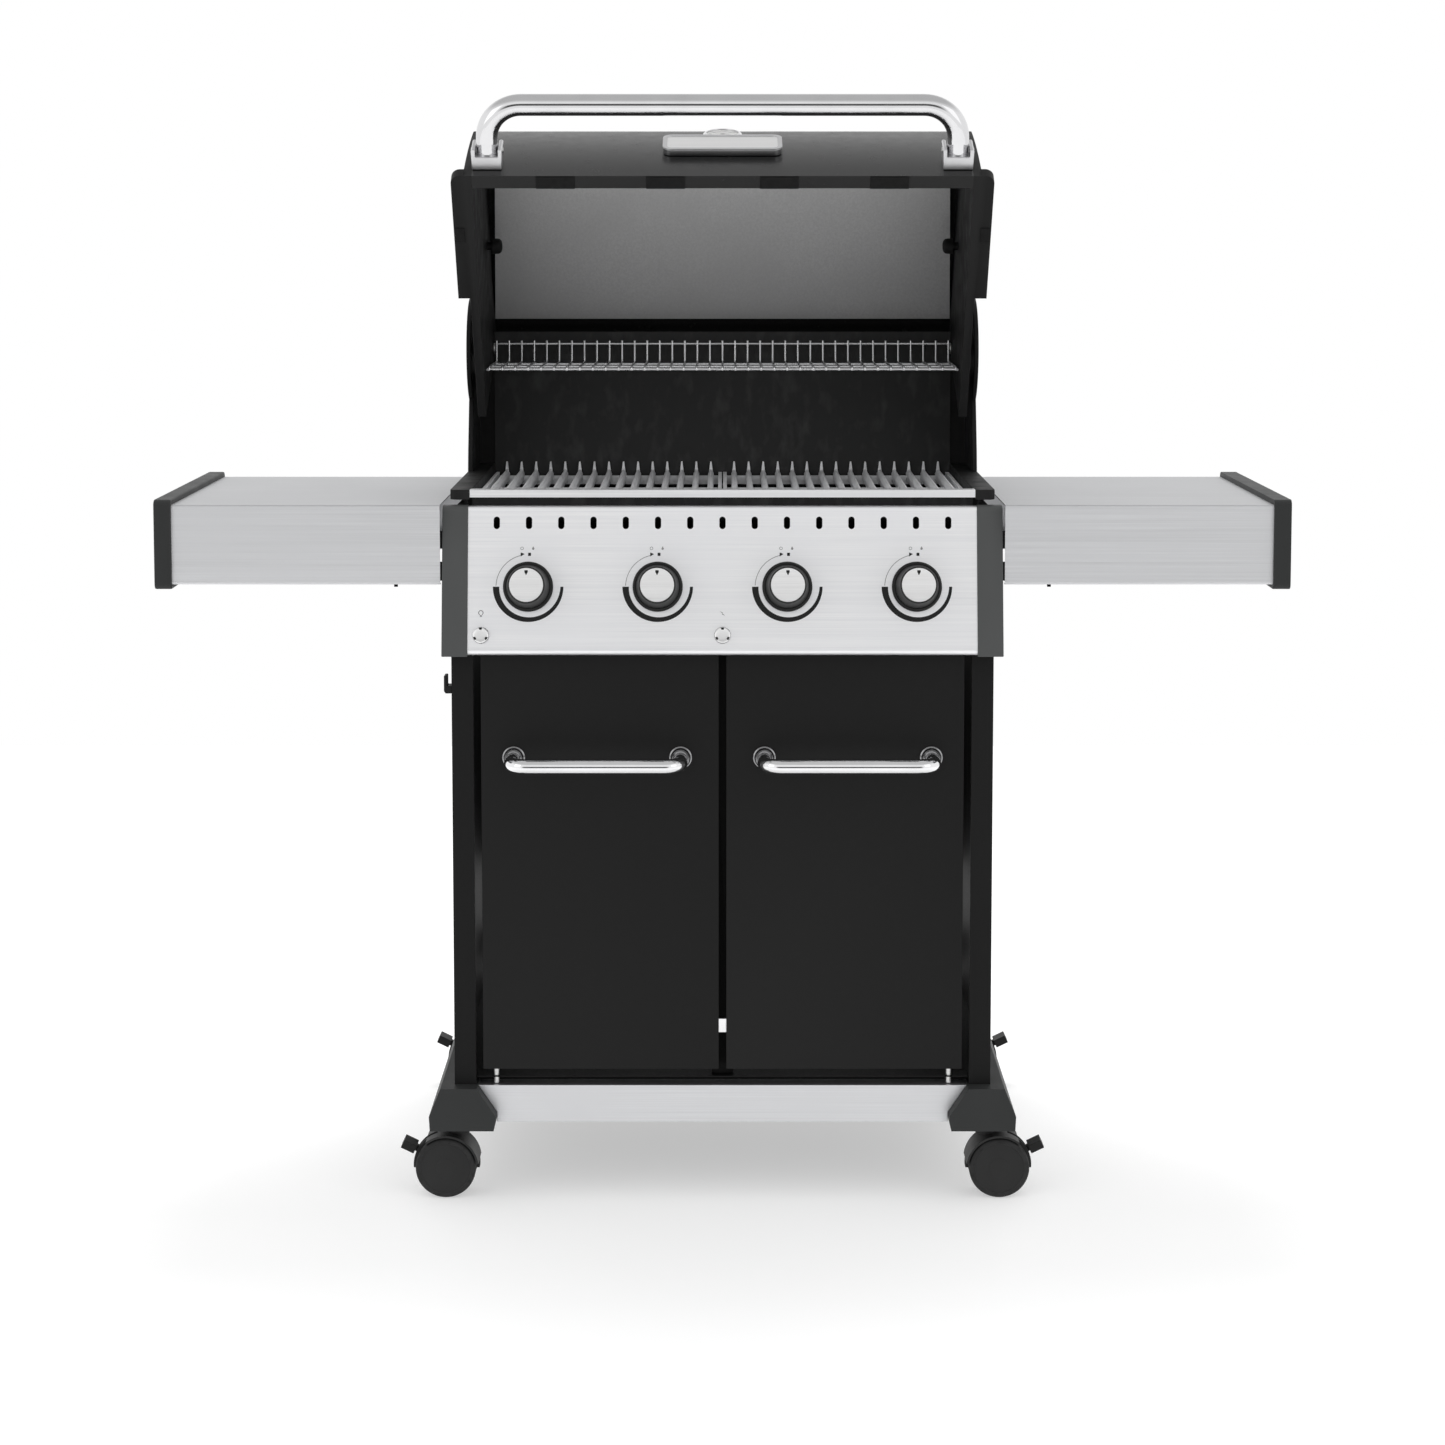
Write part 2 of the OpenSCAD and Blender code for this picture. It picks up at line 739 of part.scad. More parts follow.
// Bright inner lining, wider at the back
module lid_liner() {
    end_y = 405;
    line = function (t) concat(
        [[rim[0] + 22, rim[1] + rim_h + 1] + t * [1, 0]],
        arc(bend_centre, lid_bend_r - liner_gap - t, bend_angle, 90, 12),
        [[end_y, lid_top_z - liner_gap - t]]);
    color(steel)
        difference() {
            opened()
                intersection() {
                    slab_x(-lid_half + 1, lid_half - 1) polygon(concat(line(0), reversed(line(1))));
                    translate([0, 0, 900]) linear_extrude(300)
                        polygon([[-303, 0], [303, 0], [lid_half - 1, end_y + 1], [-lid_half + 1, end_y + 1]]);
                }
            on_face(thermo_s) translate([0, 0, -30]) cylinder(r = 6, h = 40);
        }
}

// Bent tube on two legs
module lid_handle() {
    color(chrome) on_face(handle_s) bow(-handle_x, handle_x, handle_reach, handle_bend, handle_r);
}

// Feet that clamp the handle's legs
module handle_brackets() {
    w = 38;
    color(steel) on_face(handle_s)
        for (x = [-handle_x, handle_x])
            translate([x, 0, 0])
                difference() {
                    rotate([90, 0, 90]) translate([0, 0, -w / 2]) linear_extrude(w)
                        polygon([[-20, 0.2], [20, 0.2], [17, 28], [-17, 28]]);
                    translate([0, 0, -1]) cylinder(r = handle_r, h = 40);
                }
}

// Blank name plate
module lid_badge() {
    w = 156;
    h = 62;
    thick = 10.3;
    corner_r = 12;
    color(chrome) on_face(badge_s)
        translate([0, -h / 2, 0.2]) {
            translate([-w / 2 + corner_r, 0, 0]) cube([w - 2 * corner_r, h, thick]);
            translate([-w / 2, corner_r, 0]) cube([w, h - corner_r, thick]);
            for (x = [-w / 2 + corner_r, w / 2 - corner_r])
                translate([x, corner_r, 0]) cylinder(r = corner_r, h = thick);
        }
}

// Dial thermometer with its probe through the lid
module thermometer() {
    color(chrome) on_face(thermo_s)
        translate([0, 0, 0.2])
            rotate_extrude()
                polygon([[0, -45], [3, -45], [3, 0], [26, 0], [26, 4], [24, 6], [0, 6]]);
}

// Rubber pads under the rim
module lid_bumpers() {
    z0 = rim[1] - 1.5;
    color(rubber) opened() {
        for (x = [-214.5, -73, 73, 214.5])
            box(x - 25, x + 25, rim[0] + 1, rim[0] + rim_depth, z0, rim[1]);
        for (s = [-1, 1])
            on_side(s) box(lid_side + 2, side_x - 1, 101, 123, z0, rim[1]);
    }
}

// Bolts that the lid turns on, with a spacer between lid and tower
module lid_pivot_bolts() {
    color(steel) at_front()
        for (s = [-1, 1])
            on_side(s) translate([0, pivot[0], pivot[1]]) {
                rod_x(pivot_r, box_half - 2.7, side_x + 4);
                rod_x(8, box_half - 2.7, box_half);
                rod_x(8, lid_side + side_gap, tower_x);
                rod_x(10, side_x, side_x + 4);
            }
}

// ---------------------------------------------------------------- doors

// Pan-shaped door with two hinge blocks
module door(s) {
    h = door_top_z - door_bottom_z;
    color(black) at_front() on_side(s) {
        difference() {
            box(door_inner_x, door_outer_x, door_front_y, door_front_y + door_depth,
                door_bottom_z, door_top_z);
            box(door_inner_x + 2, door_outer_x - 2, door_front_y + 2, door_front_y + door_depth + 1,
                door_bottom_z + 2, door_top_z - 2);
            translate([hinge_x, hinge_y, door_bottom_z - 1]) cylinder(r = hinge_pin_r + run_gap, h = h + 2);
        }
        for (z = [door_bottom_z + 1, door_top_z - 25])
            difference() {
                box(hinge_x - 8, hinge_x + 8, door_front_y + 1, door_front_y + door_depth, z, z + 24);
                translate([hinge_x, hinge_y, z - 2]) cylinder(r = hinge_pin_r + run_gap, h = 30);
            }
    }
}

// Bow handle on two round feet
module door_handle(s) {
    color(chrome) at_front() on_side(s)
        translate([0, door_front_y - 0.1, door_handle_z]) rotate([90, 0, 0]) {
            bow(door_handle_x0, door_handle_x1, door_handle_reach - 0.1, door_handle_bend, door_handle_r);
            for (x = [door_handle_x0, door_handle_x1])
                translate([x, 0, 0]) cylinder(r = 15, h = 8);
        }
}

// The pins that the doors turn on
module door_hinge_pins() {
    color(steel) at_front()
        for (s = [-1, 1])
            translate([s * hinge_x, hinge_y, 0]) {
                translate([0, 0, beam_top_z])
                    cylinder(r = hinge_pin_r, h = door_bottom_z + 20 - beam_top_z);
                translate([0, 0, door_top_z - 20])
                    cylinder(r = hinge_pin_r, h = header_z + 2 - door_top_z + 20);
            }
}

// ---------------------------------------------------------------- shelves and tray

// Sheet shelf with deep front and rear skirts and two hinge lugs
module shelf(s) {
    t = 1.5;
    bottom = shelf_z - shelf_skirt_h;
    color(steel) at_front() on_side(s) {
        box(shelf_x0, shelf_x1, 0, shelf_d, shelf_z - t, shelf_z);
        for (y = [0, shelf_d - t])
            box(shelf_x0, shelf_x1, y, y + t, bottom, shelf_z);
        box(shelf_x1 - t, shelf_x1, 0, shelf_d, bottom, shelf_z);
        difference() {
            for (y = [arm_y[0] + arm_w + 1, arm_y[1] - 5])
                box(fold[0] - 12, fold[0] + 12, y, y + 4, fold[1] - 12, shelf_z - 1);
            translate([fold[0], 0, fold[1]]) rod_y(fold_pin_r + run_gap, 0, shelf_d);
        }
    }
}

// Moulded end cap of a shelf, open towards the shelf
module shelf_cap(s) {
    bottom = shelf_z - shelf_skirt_h - 6;
    top = shelf_z + 7;
    r = 7;
    y0 = -4;
    y1 = shelf_d + 4;
    color(casting) at_front() on_side(s)
        difference() {
            slab_x(shelf_x1, shelf_x1 + shelf_cap_w)
                polygon(concat(
                    arc([y0 + r, bottom + r], r, 180, 270, 4), arc([y1 - r, bottom + r], r, 270, 360, 4),
                    arc([y1 - r, top - r], r, 0, 90, 4), arc([y0 + r, top - r], r, 90, 180, 4)));
            box(shelf_x1 - 1, shelf_x1 + shelf_cap_w - 4, 1.5, shelf_d - 1.5, bottom + 6, top - 10);
        }
}

// Shallow tray that hangs on its flanges and slides out to the back
module drip_tray() {
    t = 1.5;
    color(steel) at_front() {
        difference() {
            box(-tray_half, tray_half, tray_y0, tray_y1, tray_z - tray_h, tray_z);
            box(-tray_half + t, tray_half - t, tray_y0 + t, tray_y1 - t, tray_z - tray_h + t, tray_z + 1);
        }
        for (s = [-1, 1])
            on_side(s) box(tray_half - 1, 266, tray_y0, tray_y1, tray_z - t, tray_z);
        box(-60, 60, tray_y1 - 1, tray_y1 + 14, tray_z - t, tray_z);
    }
}

// ---------------------------------------------------------------- casters

// A caster's own frame: the swivel axis on the ground, x outwards
module at_caster(s, y) translate([0, y - middle_y, 0]) on_side(s) translate([stem_x, 0, 0]) children();

// Web and hood between the two wheel discs, with the swivel stem
module caster_fork(s, y) {
    at_hub = [caster_trail, 0, wheel_r];
    color(plastic) at_caster(s, y) {
        difference() {
            union() {
                translate(at_hub) {
                    rod_y(20, -fork_w / 2, fork_w / 2);
                    difference() {
                        rod_y(hood_r, -fork_w / 2, fork_w / 2);
                        box(-60, 60, -30, 30, -60, -4);
                    }
                    difference() {
                        rod_y(hood_r, -25, 25);
                        rod_y(hood_r - 2.8, -26, 26);
                        box(-60, 60, -30, 30, -60, 6);
                        box(26, 60, -30, 30, -60, 60);
                    }
                }
                translate([0, 0, 2 * wheel_r + 2.5]) cylinder(r = 12, h = 97 - 2 * wheel_r - 2.5);
                translate([0, 0, 90]) cylinder(r = stem_r, h = 56);
            }
            translate(at_hub) {
                rod_y(axle_r + run_gap, -20, 20);
                box(12, 60, -4.5, 4.5, -20, 60);
                translate([brake_pivot[0], 0, brake_pivot[1]]) rod_y(2 + run_gap, -20, 20);
            }
        }
    }
}

// Two wheel discs on one axle
module caster_wheel(s, y) {
    inner = fork_w / 2 + 0.8;
    outer = inner + wheel_w;
    color(plastic) at_caster(s, y) translate([caster_trail, 0, wheel_r]) rotate([90, 0, 0]) {
        rotate_extrude()
            polygon([[0, -outer], [wheel_r - 4, -outer], [wheel_r, -outer + 4], [wheel_r, -inner - 2],
                     [wheel_r - 2, -inner], [axle_r, -inner], [axle_r, inner], [wheel_r - 2, inner],
                     [wheel_r, inner + 2], [wheel_r, outer - 4], [wheel_r - 4, outer], [0, outer]]);
    }
}

// Foot lever that turns on a pin inside the hood
module caster_brake(s, y) {
    color(plastic) at_caster(s, y)
        translate([caster_trail + brake_pivot[0], 0, wheel_r + brake_pivot[1]]) {
            rod_y(2, -fork_w / 2, fork_w / 2);
            rod_y(4.5, -4, 4);
            rotate([0, -brake_angle, 0]) {
                box(0, 20, -4, 4, -4, 4);
                box(18.5, 37, -13, 13, -5.75, 5.75);
            }
        }
}

foot_beams();
base_shelf();
lower_rail();
side_panel(-1);  // side_panel_left
side_panel(1);  // side_panel_right
cross_rails();
centre_stile();
shelf_brackets();
side_hook();
firebox_end(-1);  // firebox_end_left
firebox_end(1);  // firebox_end_right
firebox_tub();
front_lip();
control_panel();
panel_end_caps();
knob_bezels();
gas_manifold();
burner_tubes();
heat_plates();
cooking_grates();
warming_rack();
igniter_set();
door_hinge_pins();
lid_pivot_bolts();
lid_shell();
lid_end(-1);  // lid_end_left
lid_end(1);  // lid_end_right
lid_liner();
lid_handle();
handle_brackets();
lid_badge();
thermometer();
lid_bumpers();
door(-1);  // door_left
door(1);  // door_right
door_handle(-1);  // door_handle_left
door_handle(1);  // door_handle_right
knob(1);  // knob_1
knob(2);  // knob_2
knob(3);  // knob_3
knob(4);  // knob_4
button(0);  // ignition_button
button(light_x);  // light_button
shelf(-1);  // shelf_left
shelf(1);  // shelf_right
shelf_cap(-1);  // shelf_cap_left
shelf_cap(1);  // shelf_cap_right
drip_tray();
caster_fork(-1, caster_front_y);  // caster_fork_front_left
caster_fork(1, caster_front_y);  // caster_fork_front_right
caster_fork(-1, caster_rear_y);  // caster_fork_rear_left
caster_fork(1, caster_rear_y);  // caster_fork_rear_right
caster_wheel(-1, caster_front_y);  // caster_wheel_front_left
caster_wheel(1, caster_front_y);  // caster_wheel_front_right
caster_wheel(-1, caster_rear_y);  // caster_wheel_rear_left
caster_wheel(1, caster_rear_y);  // caster_wheel_rear_right
caster_brake(-1, caster_front_y);  // caster_brake_front_left
caster_brake(1, caster_front_y);  // caster_brake_front_right
caster_brake(-1, caster_rear_y);  // caster_brake_rear_left
caster_brake(1, caster_rear_y);  // caster_brake_rear_right
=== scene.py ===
import bmesh
import bpy
import json
import math
from mathutils import Matrix, Vector


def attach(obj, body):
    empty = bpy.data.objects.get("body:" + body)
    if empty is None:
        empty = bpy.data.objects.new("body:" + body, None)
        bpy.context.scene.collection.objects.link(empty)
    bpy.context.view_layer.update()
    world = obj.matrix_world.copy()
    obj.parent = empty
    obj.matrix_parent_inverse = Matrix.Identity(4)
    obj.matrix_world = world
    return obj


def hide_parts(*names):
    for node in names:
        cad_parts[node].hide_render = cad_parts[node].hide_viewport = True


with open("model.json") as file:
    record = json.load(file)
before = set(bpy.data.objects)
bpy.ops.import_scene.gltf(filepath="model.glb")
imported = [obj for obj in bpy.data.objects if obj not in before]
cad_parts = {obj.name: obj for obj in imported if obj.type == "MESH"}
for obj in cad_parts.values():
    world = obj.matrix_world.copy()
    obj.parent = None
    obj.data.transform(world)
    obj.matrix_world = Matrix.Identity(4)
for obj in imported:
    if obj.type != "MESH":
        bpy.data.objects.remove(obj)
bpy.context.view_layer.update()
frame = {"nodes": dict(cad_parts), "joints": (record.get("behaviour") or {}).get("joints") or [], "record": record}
nodes = frame["nodes"]
joints = {j["name"]: j for j in frame["joints"]}
behaviour = frame["record"]["behaviour"]
body_of = {node: body for body, members in behaviour["bodies"].items() for node in members}

MM = 0.001  # a millimetre in metres


# ------------------------------------------------------------------ shader helpers


class Shader:
    """One procedural material, built from small steps on its principled shader."""

    def __init__(self, name, metallic=0.0, roughness=0.5, **constants):
        self.material = bpy.data.materials.new(name)
        self.material.use_nodes = True
        self.tree = self.material.node_tree
        self.surface = self.tree.nodes["Principled BSDF"]
        self.surface.inputs["Metallic"].default_value = metallic
        self.surface.inputs["Roughness"].default_value = roughness
        for socket, value in constants.items():
            self.surface.inputs[socket.replace("_", " ")].default_value = value
        self.place = self.node("ShaderNodeTexCoord").outputs["Object"]

    def node(self, kind, **settings):
        made = self.tree.nodes.new(kind)
        for key, value in settings.items():
            setattr(made, key, value)
        return made

    def link(self, source, target):
        self.tree.links.new(source, target)

    def noise(self, scale, stretch=(1, 1, 1), detail=3.0):
        """Noise from 0 to 1 with features of about 1/scale metres, drawn out where stretch is small."""
        mapping = self.node("ShaderNodeMapping")
        mapping.inputs["Scale"].default_value = [scale * s for s in stretch]
        self.link(self.place, mapping.inputs["Vector"])
        texture = self.node("ShaderNodeTexNoise")
        texture.inputs["Scale"].default_value = 1.0
        texture.inputs["Detail"].default_value = detail
        self.link(mapping.outputs["Vector"], texture.inputs["Vector"])
        return texture.outputs["Fac"]

    def cells(self, scale):
        """Rounded pits about 1/scale metres apart."""
        texture = self.node("ShaderNodeTexVoronoi", feature="SMOOTH_F1")
        texture.inputs["Scale"].default_value = scale
        self.link(self.place, texture.inputs["Vector"])
        return texture.outputs["Distance"]

    def spread(self, value, low, high, to_low=0.0, to_high=1.0):
        """Value moved from the range low..high to to_low..to_high."""
        remap = self.node("ShaderNodeMapRange")
        limits = {"From Min": low, "From Max": high, "To Min": to_low, "To Max": to_high}
        for key, number in limits.items():
            remap.inputs[key].default_value = number
        self.link(value, remap.inputs["Value"])
        return remap.outputs["Result"]

    def edges(self, low=0.53, high=0.6):
        """1 on outer edges, 0 elsewhere."""
        return self.spread(self.node("ShaderNodeNewGeometry").outputs["Pointiness"], low, high)

    def blend(self, factor, first, second):
        """First where factor is 0, second where it is 1; each a colour or a socket."""
        mix = self.node("ShaderNodeMix", data_type="RGBA")
        self.link(factor, mix.inputs[0])
        for socket, colour in ((mix.inputs[6], first), (mix.inputs[7], second)):
            if isinstance(colour, (tuple, list)):
                socket.default_value = (*colour, 1)
            else:
                self.link(colour, socket)
        return mix.outputs[2]

    def add(self, first, second, weight=1.0):
        """First plus weight times second."""
        total = self.node("ShaderNodeMath", operation="MULTIPLY_ADD")
        self.link(second, total.inputs[0])
        total.inputs[1].default_value = weight
        self.link(first, total.inputs[2])
        return total.outputs[0]

    def colour(self, value):
        self.link(value, self.surface.inputs["Base Color"])

    def rough(self, value):
        self.link(value, self.surface.inputs["Roughness"])

    def bump(self, height, depth_mm):
        """Relief depth_mm deep from height, a value from 0 to 1."""
        bump = self.node("ShaderNodeBump")
        bump.inputs["Distance"].default_value = depth_mm * MM
        self.link(height, bump.inputs["Height"])
        self.link(bump.outputs["Normal"], self.surface.inputs["Normal"])


def tinted(colour, factor):
    """A colour made darker or lighter."""
    return tuple(min(1.0, c * factor) for c in colour)


# ------------------------------------------------------------------ materials


def brushed(name, colour, roughness):
    """Brushed sheet: fine grain drawn out along x, soft cloudy smudges."""
    grain = (0.004, 1, 1)
    look = Shader(name, metallic=1.0, roughness=roughness)
    fine = look.noise(1500, grain, detail=4)
    coarse = look.noise(350, grain, detail=2)
    smudge = look.noise(7, detail=4)
    lines = look.add(fine, coarse, 0.6)
    tone = look.blend(look.spread(lines, 0.55, 1.05), tinted(colour, 0.9), tinted(colour, 1.06))
    look.colour(look.blend(look.spread(smudge, 0.35, 0.75), tone, tinted(colour, 0.96)))
    satin = look.spread(lines, 0.5, 1.1, roughness - 0.05, roughness + 0.07)
    look.rough(look.add(satin, smudge, 0.06))
    look.bump(lines, 0.01)
    return look.material


def powder_coat(name, colour, roughness, specular):
    """Baked powder paint: slight orange peel, fine specks, edges worn a little paler."""
    look = Shader(name, roughness=roughness, Specular_IOR_Level=specular)
    peel = look.noise(420, detail=2)
    specks = look.noise(2600, detail=2)
    worn = look.edges()
    tone = look.blend(look.spread(specks, 0.35, 0.7), tinted(colour, 0.85), tinted(colour, 1.2))
    look.colour(look.blend(worn, tone, tinted(colour, 2.2)))
    satin = look.spread(peel, 0.3, 0.7, roughness - 0.05, roughness + 0.06)
    look.rough(look.add(satin, look.noise(9, detail=3), 0.05))
    look.bump(look.add(peel, specks, 0.25), 0.03)
    return look.material


def enamel(name, colour):
    """Glassy fired enamel with a long soft ripple and dust-fine roughness."""
    look = Shader(name, roughness=0.2, Specular_IOR_Level=0.26)
    ripple = look.noise(60, detail=3)
    dust = look.noise(1800, detail=2)
    look.colour(look.blend(look.spread(dust, 0.4, 0.75), colour, tinted(colour, 1.35)))
    look.rough(look.add(look.spread(ripple, 0.3, 0.7, 0.17, 0.25), dust, 0.05))
    look.bump(look.add(ripple, dust, 0.05), 0.05)
    return look.material


def cast_paint(name, colour):
    """Painted casting: pebbled skin, uneven sheen, paler worn edges."""
    roughness = 0.5
    look = Shader(name, roughness=roughness, Specular_IOR_Level=0.12)
    pebbles = look.cells(650)
    uneven = look.noise(35, detail=4)
    tone = look.blend(look.spread(uneven, 0.3, 0.7), tinted(colour, 0.8), tinted(colour, 1.15))
    look.colour(look.blend(look.edges(0.52, 0.6), tone, tinted(colour, 2.4)))
    sheen = look.spread(uneven, 0.3, 0.7, roughness - 0.07, roughness + 0.07)
    look.rough(look.add(sheen, pebbles, 0.08))
    look.bump(look.add(uneven, pebbles, -0.6), 0.08)
    return look.material


def moulding(name, colour, roughness, grain=1400, depth=0.03):
    """Moulded plastic: spark-eroded grain, slight flow marks, rubbed edges."""
    look = Shader(name, roughness=roughness, Specular_IOR_Level=0.15)
    texture = look.cells(grain)
    flow = look.noise(22, (1, 1, 0.3), detail=3)
    tone = look.blend(look.spread(flow, 0.3, 0.7), tinted(colour, 0.9), tinted(colour, 1.1))
    look.colour(look.blend(look.edges(0.52, 0.62), tone, tinted(colour, 1.7)))
    sheen = look.spread(flow, 0.3, 0.7, roughness - 0.05, roughness + 0.05)
    look.rough(look.add(sheen, texture, 0.1))
    look.bump(texture, depth)
    return look.material


def plated(name, colour, roughness=0.06):
    """Chrome plate: hairline wipe marks and faint finger haze in the roughness."""
    look = Shader(name, metallic=1.0, roughness=roughness)
    hairs = look.noise(900, (0.15, 1, 1), detail=3)
    haze = look.noise(28, detail=4)
    look.colour(look.blend(look.spread(haze, 0.35, 0.75), colour, tinted(colour, 0.93)))
    look.rough(look.add(look.spread(haze, 0.4, 0.8, roughness, roughness + 0.07), hairs, 0.04))
    look.bump(hairs, 0.002)
    return look.material


def dull_sheet(name, colour, roughness):
    """Aluminised sheet: fine crystals all over, and a soft cloud of heat and smoke."""
    look = Shader(name, metallic=0.7, roughness=roughness)
    crystals = look.noise(800, detail=5)
    flecks = look.noise(320, (1, 1, 0.6), detail=3)
    smoke = look.noise(5, detail=4)
    spangle = look.spread(look.add(crystals, flecks, 0.8), 0.7, 1.1)
    tone = look.blend(spangle, tinted(colour, 0.91), tinted(colour, 1.09))
    look.colour(look.blend(look.spread(smoke, 0.4, 0.8), tone, tinted(colour, 0.9)))
    satin = look.spread(crystals, 0.3, 0.7, roughness - 0.06, roughness + 0.08)
    look.rough(look.add(satin, flecks, 0.06))
    look.bump(crystals, 0.03)
    return look.material


def grate_steel(name):
    """Bare cast bars: a pale, little metallic base that paints in the bright sheen of satin steel, painted
    highlights along the edges, and darker and rougher patches.
    """
    # painted sheen: pale diffuse base colour stands in for the bright reflections of steel bars
    colour = (0.86, 0.865, 0.88)
    look = Shader(name, metallic=0.1, roughness=0.4)
    grain = look.noise(700, (1, 0.05, 1), detail=4)
    seasoning = look.noise(32, (1, 0.5, 1), detail=5)
    base = look.blend(look.spread(seasoning, 0.42, 0.68), colour, (0.68, 0.68, 0.695))
    # painted highlight: edges found by pointiness are made paler
    look.colour(look.blend(look.edges(0.51, 0.58), base, (0.95, 0.95, 0.96)))
    look.rough(look.add(look.spread(seasoning, 0.35, 0.7, 0.28, 0.46), grain, 0.1))
    look.bump(look.add(grain, seasoning, 0.5), 0.05)
    return look.material


def sooty(name, colour):
    """Tub sheet: flat black enamel with grey ash and drips dried on it."""
    look = Shader(name, roughness=0.5, Specular_IOR_Level=0.2)
    ash = look.noise(60, (1, 1, 0.5), detail=6)
    streaks = look.noise(40, (1, 1, 0.08), detail=3)
    mask = look.add(ash, streaks, 0.5)
    look.colour(look.blend(look.spread(mask, 0.75, 1.0), colour, tinted(colour, 1.9)))
    look.rough(look.spread(mask, 0.6, 1.0, 0.48, 0.68))
    look.bump(look.add(ash, look.cells(900), 0.3), 0.05)
    return look.material


def brass(name):
    """Turned brass: lathe marks and brown tarnish."""
    look = Shader(name, metallic=1.0, roughness=0.3)
    tarnish = look.noise(45, detail=5)
    lathe_marks = look.noise(1200, (0.1, 1, 1), detail=2)
    look.colour(look.blend(look.spread(tarnish, 0.4, 0.7), (0.74, 0.56, 0.27), (0.45, 0.32, 0.15)))
    look.rough(look.add(look.spread(tarnish, 0.3, 0.7, 0.24, 0.42), lathe_marks, 0.06))
    look.bump(lathe_marks, 0.01)
    return look.material


def tread(name, colour):
    """Hard rubber: scuffed and dusty."""
    look = Shader(name, roughness=0.62, Specular_IOR_Level=0.2)
    scuffs = look.noise(150, (1, 0.2, 1), detail=5)
    dust = look.noise(30, detail=4)
    tone = look.blend(look.spread(dust, 0.4, 0.75), colour, tinted(colour, 1.6))
    look.colour(look.blend(look.spread(scuffs, 0.5, 0.8), tone, tinted(colour, 0.7)))
    look.rough(look.add(look.spread(scuffs, 0.3, 0.7, 0.52, 0.68), dust, 0.08))
    look.bump(look.add(scuffs, look.cells(1500), 0.2), 0.05)
    return look.material


def ink(name, colour):
    """Screen print: flat ink with pinholes and a slightly wavy coat."""
    look = Shader(name, roughness=0.45, Specular_IOR_Level=0.2)
    pores = look.noise(2500, detail=2)
    look.colour(look.blend(look.spread(pores, 0.55, 0.8), colour, tinted(colour, 2.0)))
    look.rough(look.spread(pores, 0.3, 0.7, 0.38, 0.55))
    look.bump(pores, 0.01)
    return look.material


def clear_glass(name):
    """Glass with a faint haze."""
    look = Shader(name, roughness=0.03, Transmission_Weight=1.0, IOR=1.45)
    haze = look.noise(40, detail=4)
    look.rough(look.spread(haze, 0.4, 0.8, 0.02, 0.07))
    look.bump(haze, 0.004)
    return look.material


def floor_paint(name):
    """Pale studio floor that glows a little, so that only soft shadows show on it."""
    look = Shader(name, roughness=0.8, Specular_IOR_Level=0.1)
    mottle = look.noise(3, detail=3)
    look.colour(look.blend(mottle, (0.59, 0.59, 0.59), (0.61, 0.61, 0.61)))
    look.rough(look.spread(mottle, 0.3, 0.7, 0.75, 0.85))
    look.surface.inputs["Emission Color"].default_value = (1, 1, 1, 1)
    look.surface.inputs["Emission Strength"].default_value = 0.44
    return look.material


paint_black = powder_coat("black_powder_coat", (0.0085, 0.0085, 0.0085), 0.56, specular=0.07)
door_black = powder_coat("door_coat", (0.0080, 0.0080, 0.0080), 0.34, specular=0.10)
enamel_black = enamel("black_enamel", (0.008, 0.008, 0.008))
cast_black = cast_paint("black_casting", (0.0095, 0.0095, 0.0095))
tub_black = sooty("tub_enamel", (0.023, 0.023, 0.023))
steel = brushed("brushed_steel", (0.95, 0.955, 0.975), 0.42)
shelf_steel = brushed("shelf_steel", (0.70, 0.705, 0.718), 0.5)
bright_steel = brushed("bright_steel", (0.74, 0.745, 0.76), 0.38)
disc_steel = brushed("disc_steel", (0.93, 0.93, 0.93), 0.4)
liner_sheet = dull_sheet("liner_sheet", (0.58, 0.58, 0.58), 0.5)
plain_sheet = dull_sheet("plain_sheet", (0.52, 0.52, 0.52), 0.35)
grate_metal = grate_steel("grate_steel")
chrome = plated("chrome", (0.86, 0.86, 0.87))
wire_chrome = plated("wire_chrome", (0.80, 0.80, 0.81), 0.24)
zinc = plated("zinc", (0.72, 0.72, 0.71), 0.28)
bracket_metal = plated("bracket_metal", (0.66, 0.66, 0.67), 0.3)
handle_chrome = plated("handle_chrome", (0.74, 0.74, 0.75))
button_chrome = plated("button_chrome", (0.94, 0.94, 0.94), 0.34)
# painted shade: chrome darkened to stand in for the shade under the badge and for the dark reflections on the door
# handle rosettes
painted_shade_chrome = plated("painted_shade_chrome", (0.30, 0.30, 0.305), 0.16)
valve_brass = brass("brass")
cap_grey = moulding("grey_moulding", (0.060, 0.062, 0.062), 0.46)
end_grey = moulding("end_cap_moulding", (0.024, 0.025, 0.025), 0.46)
foot_grey = moulding("foot_moulding", (0.026, 0.027, 0.027), 0.5)
black_plastic = moulding("black_plastic", (0.012, 0.012, 0.012), 0.42, grain=2200, depth=0.015)
knob_plastic = moulding("knob_plastic", (0.020, 0.020, 0.020), 0.4, grain=2200, depth=0.015)
caster_plastic = moulding("caster_plastic", (0.027, 0.027, 0.027), 0.45)
tyre_rubber = tread("tread", (0.022, 0.022, 0.022))
pad_rubber = tread("pad_rubber", (0.004, 0.004, 0.004))
print_black = ink("print_black", (0.012, 0.012, 0.012))
print_grey = ink("print_grey", (0.25, 0.25, 0.25))
dial_white = ink("dial_white", (0.75, 0.75, 0.73))
glass = clear_glass("glass")


# ------------------------------------------------------------------ mesh helpers


def fresh():
    """An empty bmesh."""
    return bmesh.new()


def shade(piece):
    """Smooth shading that stays crisp on sharp edges."""
    sharp_deg = 38
    mesh = piece.data
    mesh.polygons.foreach_set("use_smooth", [True] * len(mesh.polygons))
    mesh.set_sharp_from_angle(angle=math.radians(sharp_deg))
    even = piece.modifiers.new("even_normals", "WEIGHTED_NORMAL")
    even.keep_sharp = True
    even.weight = 100


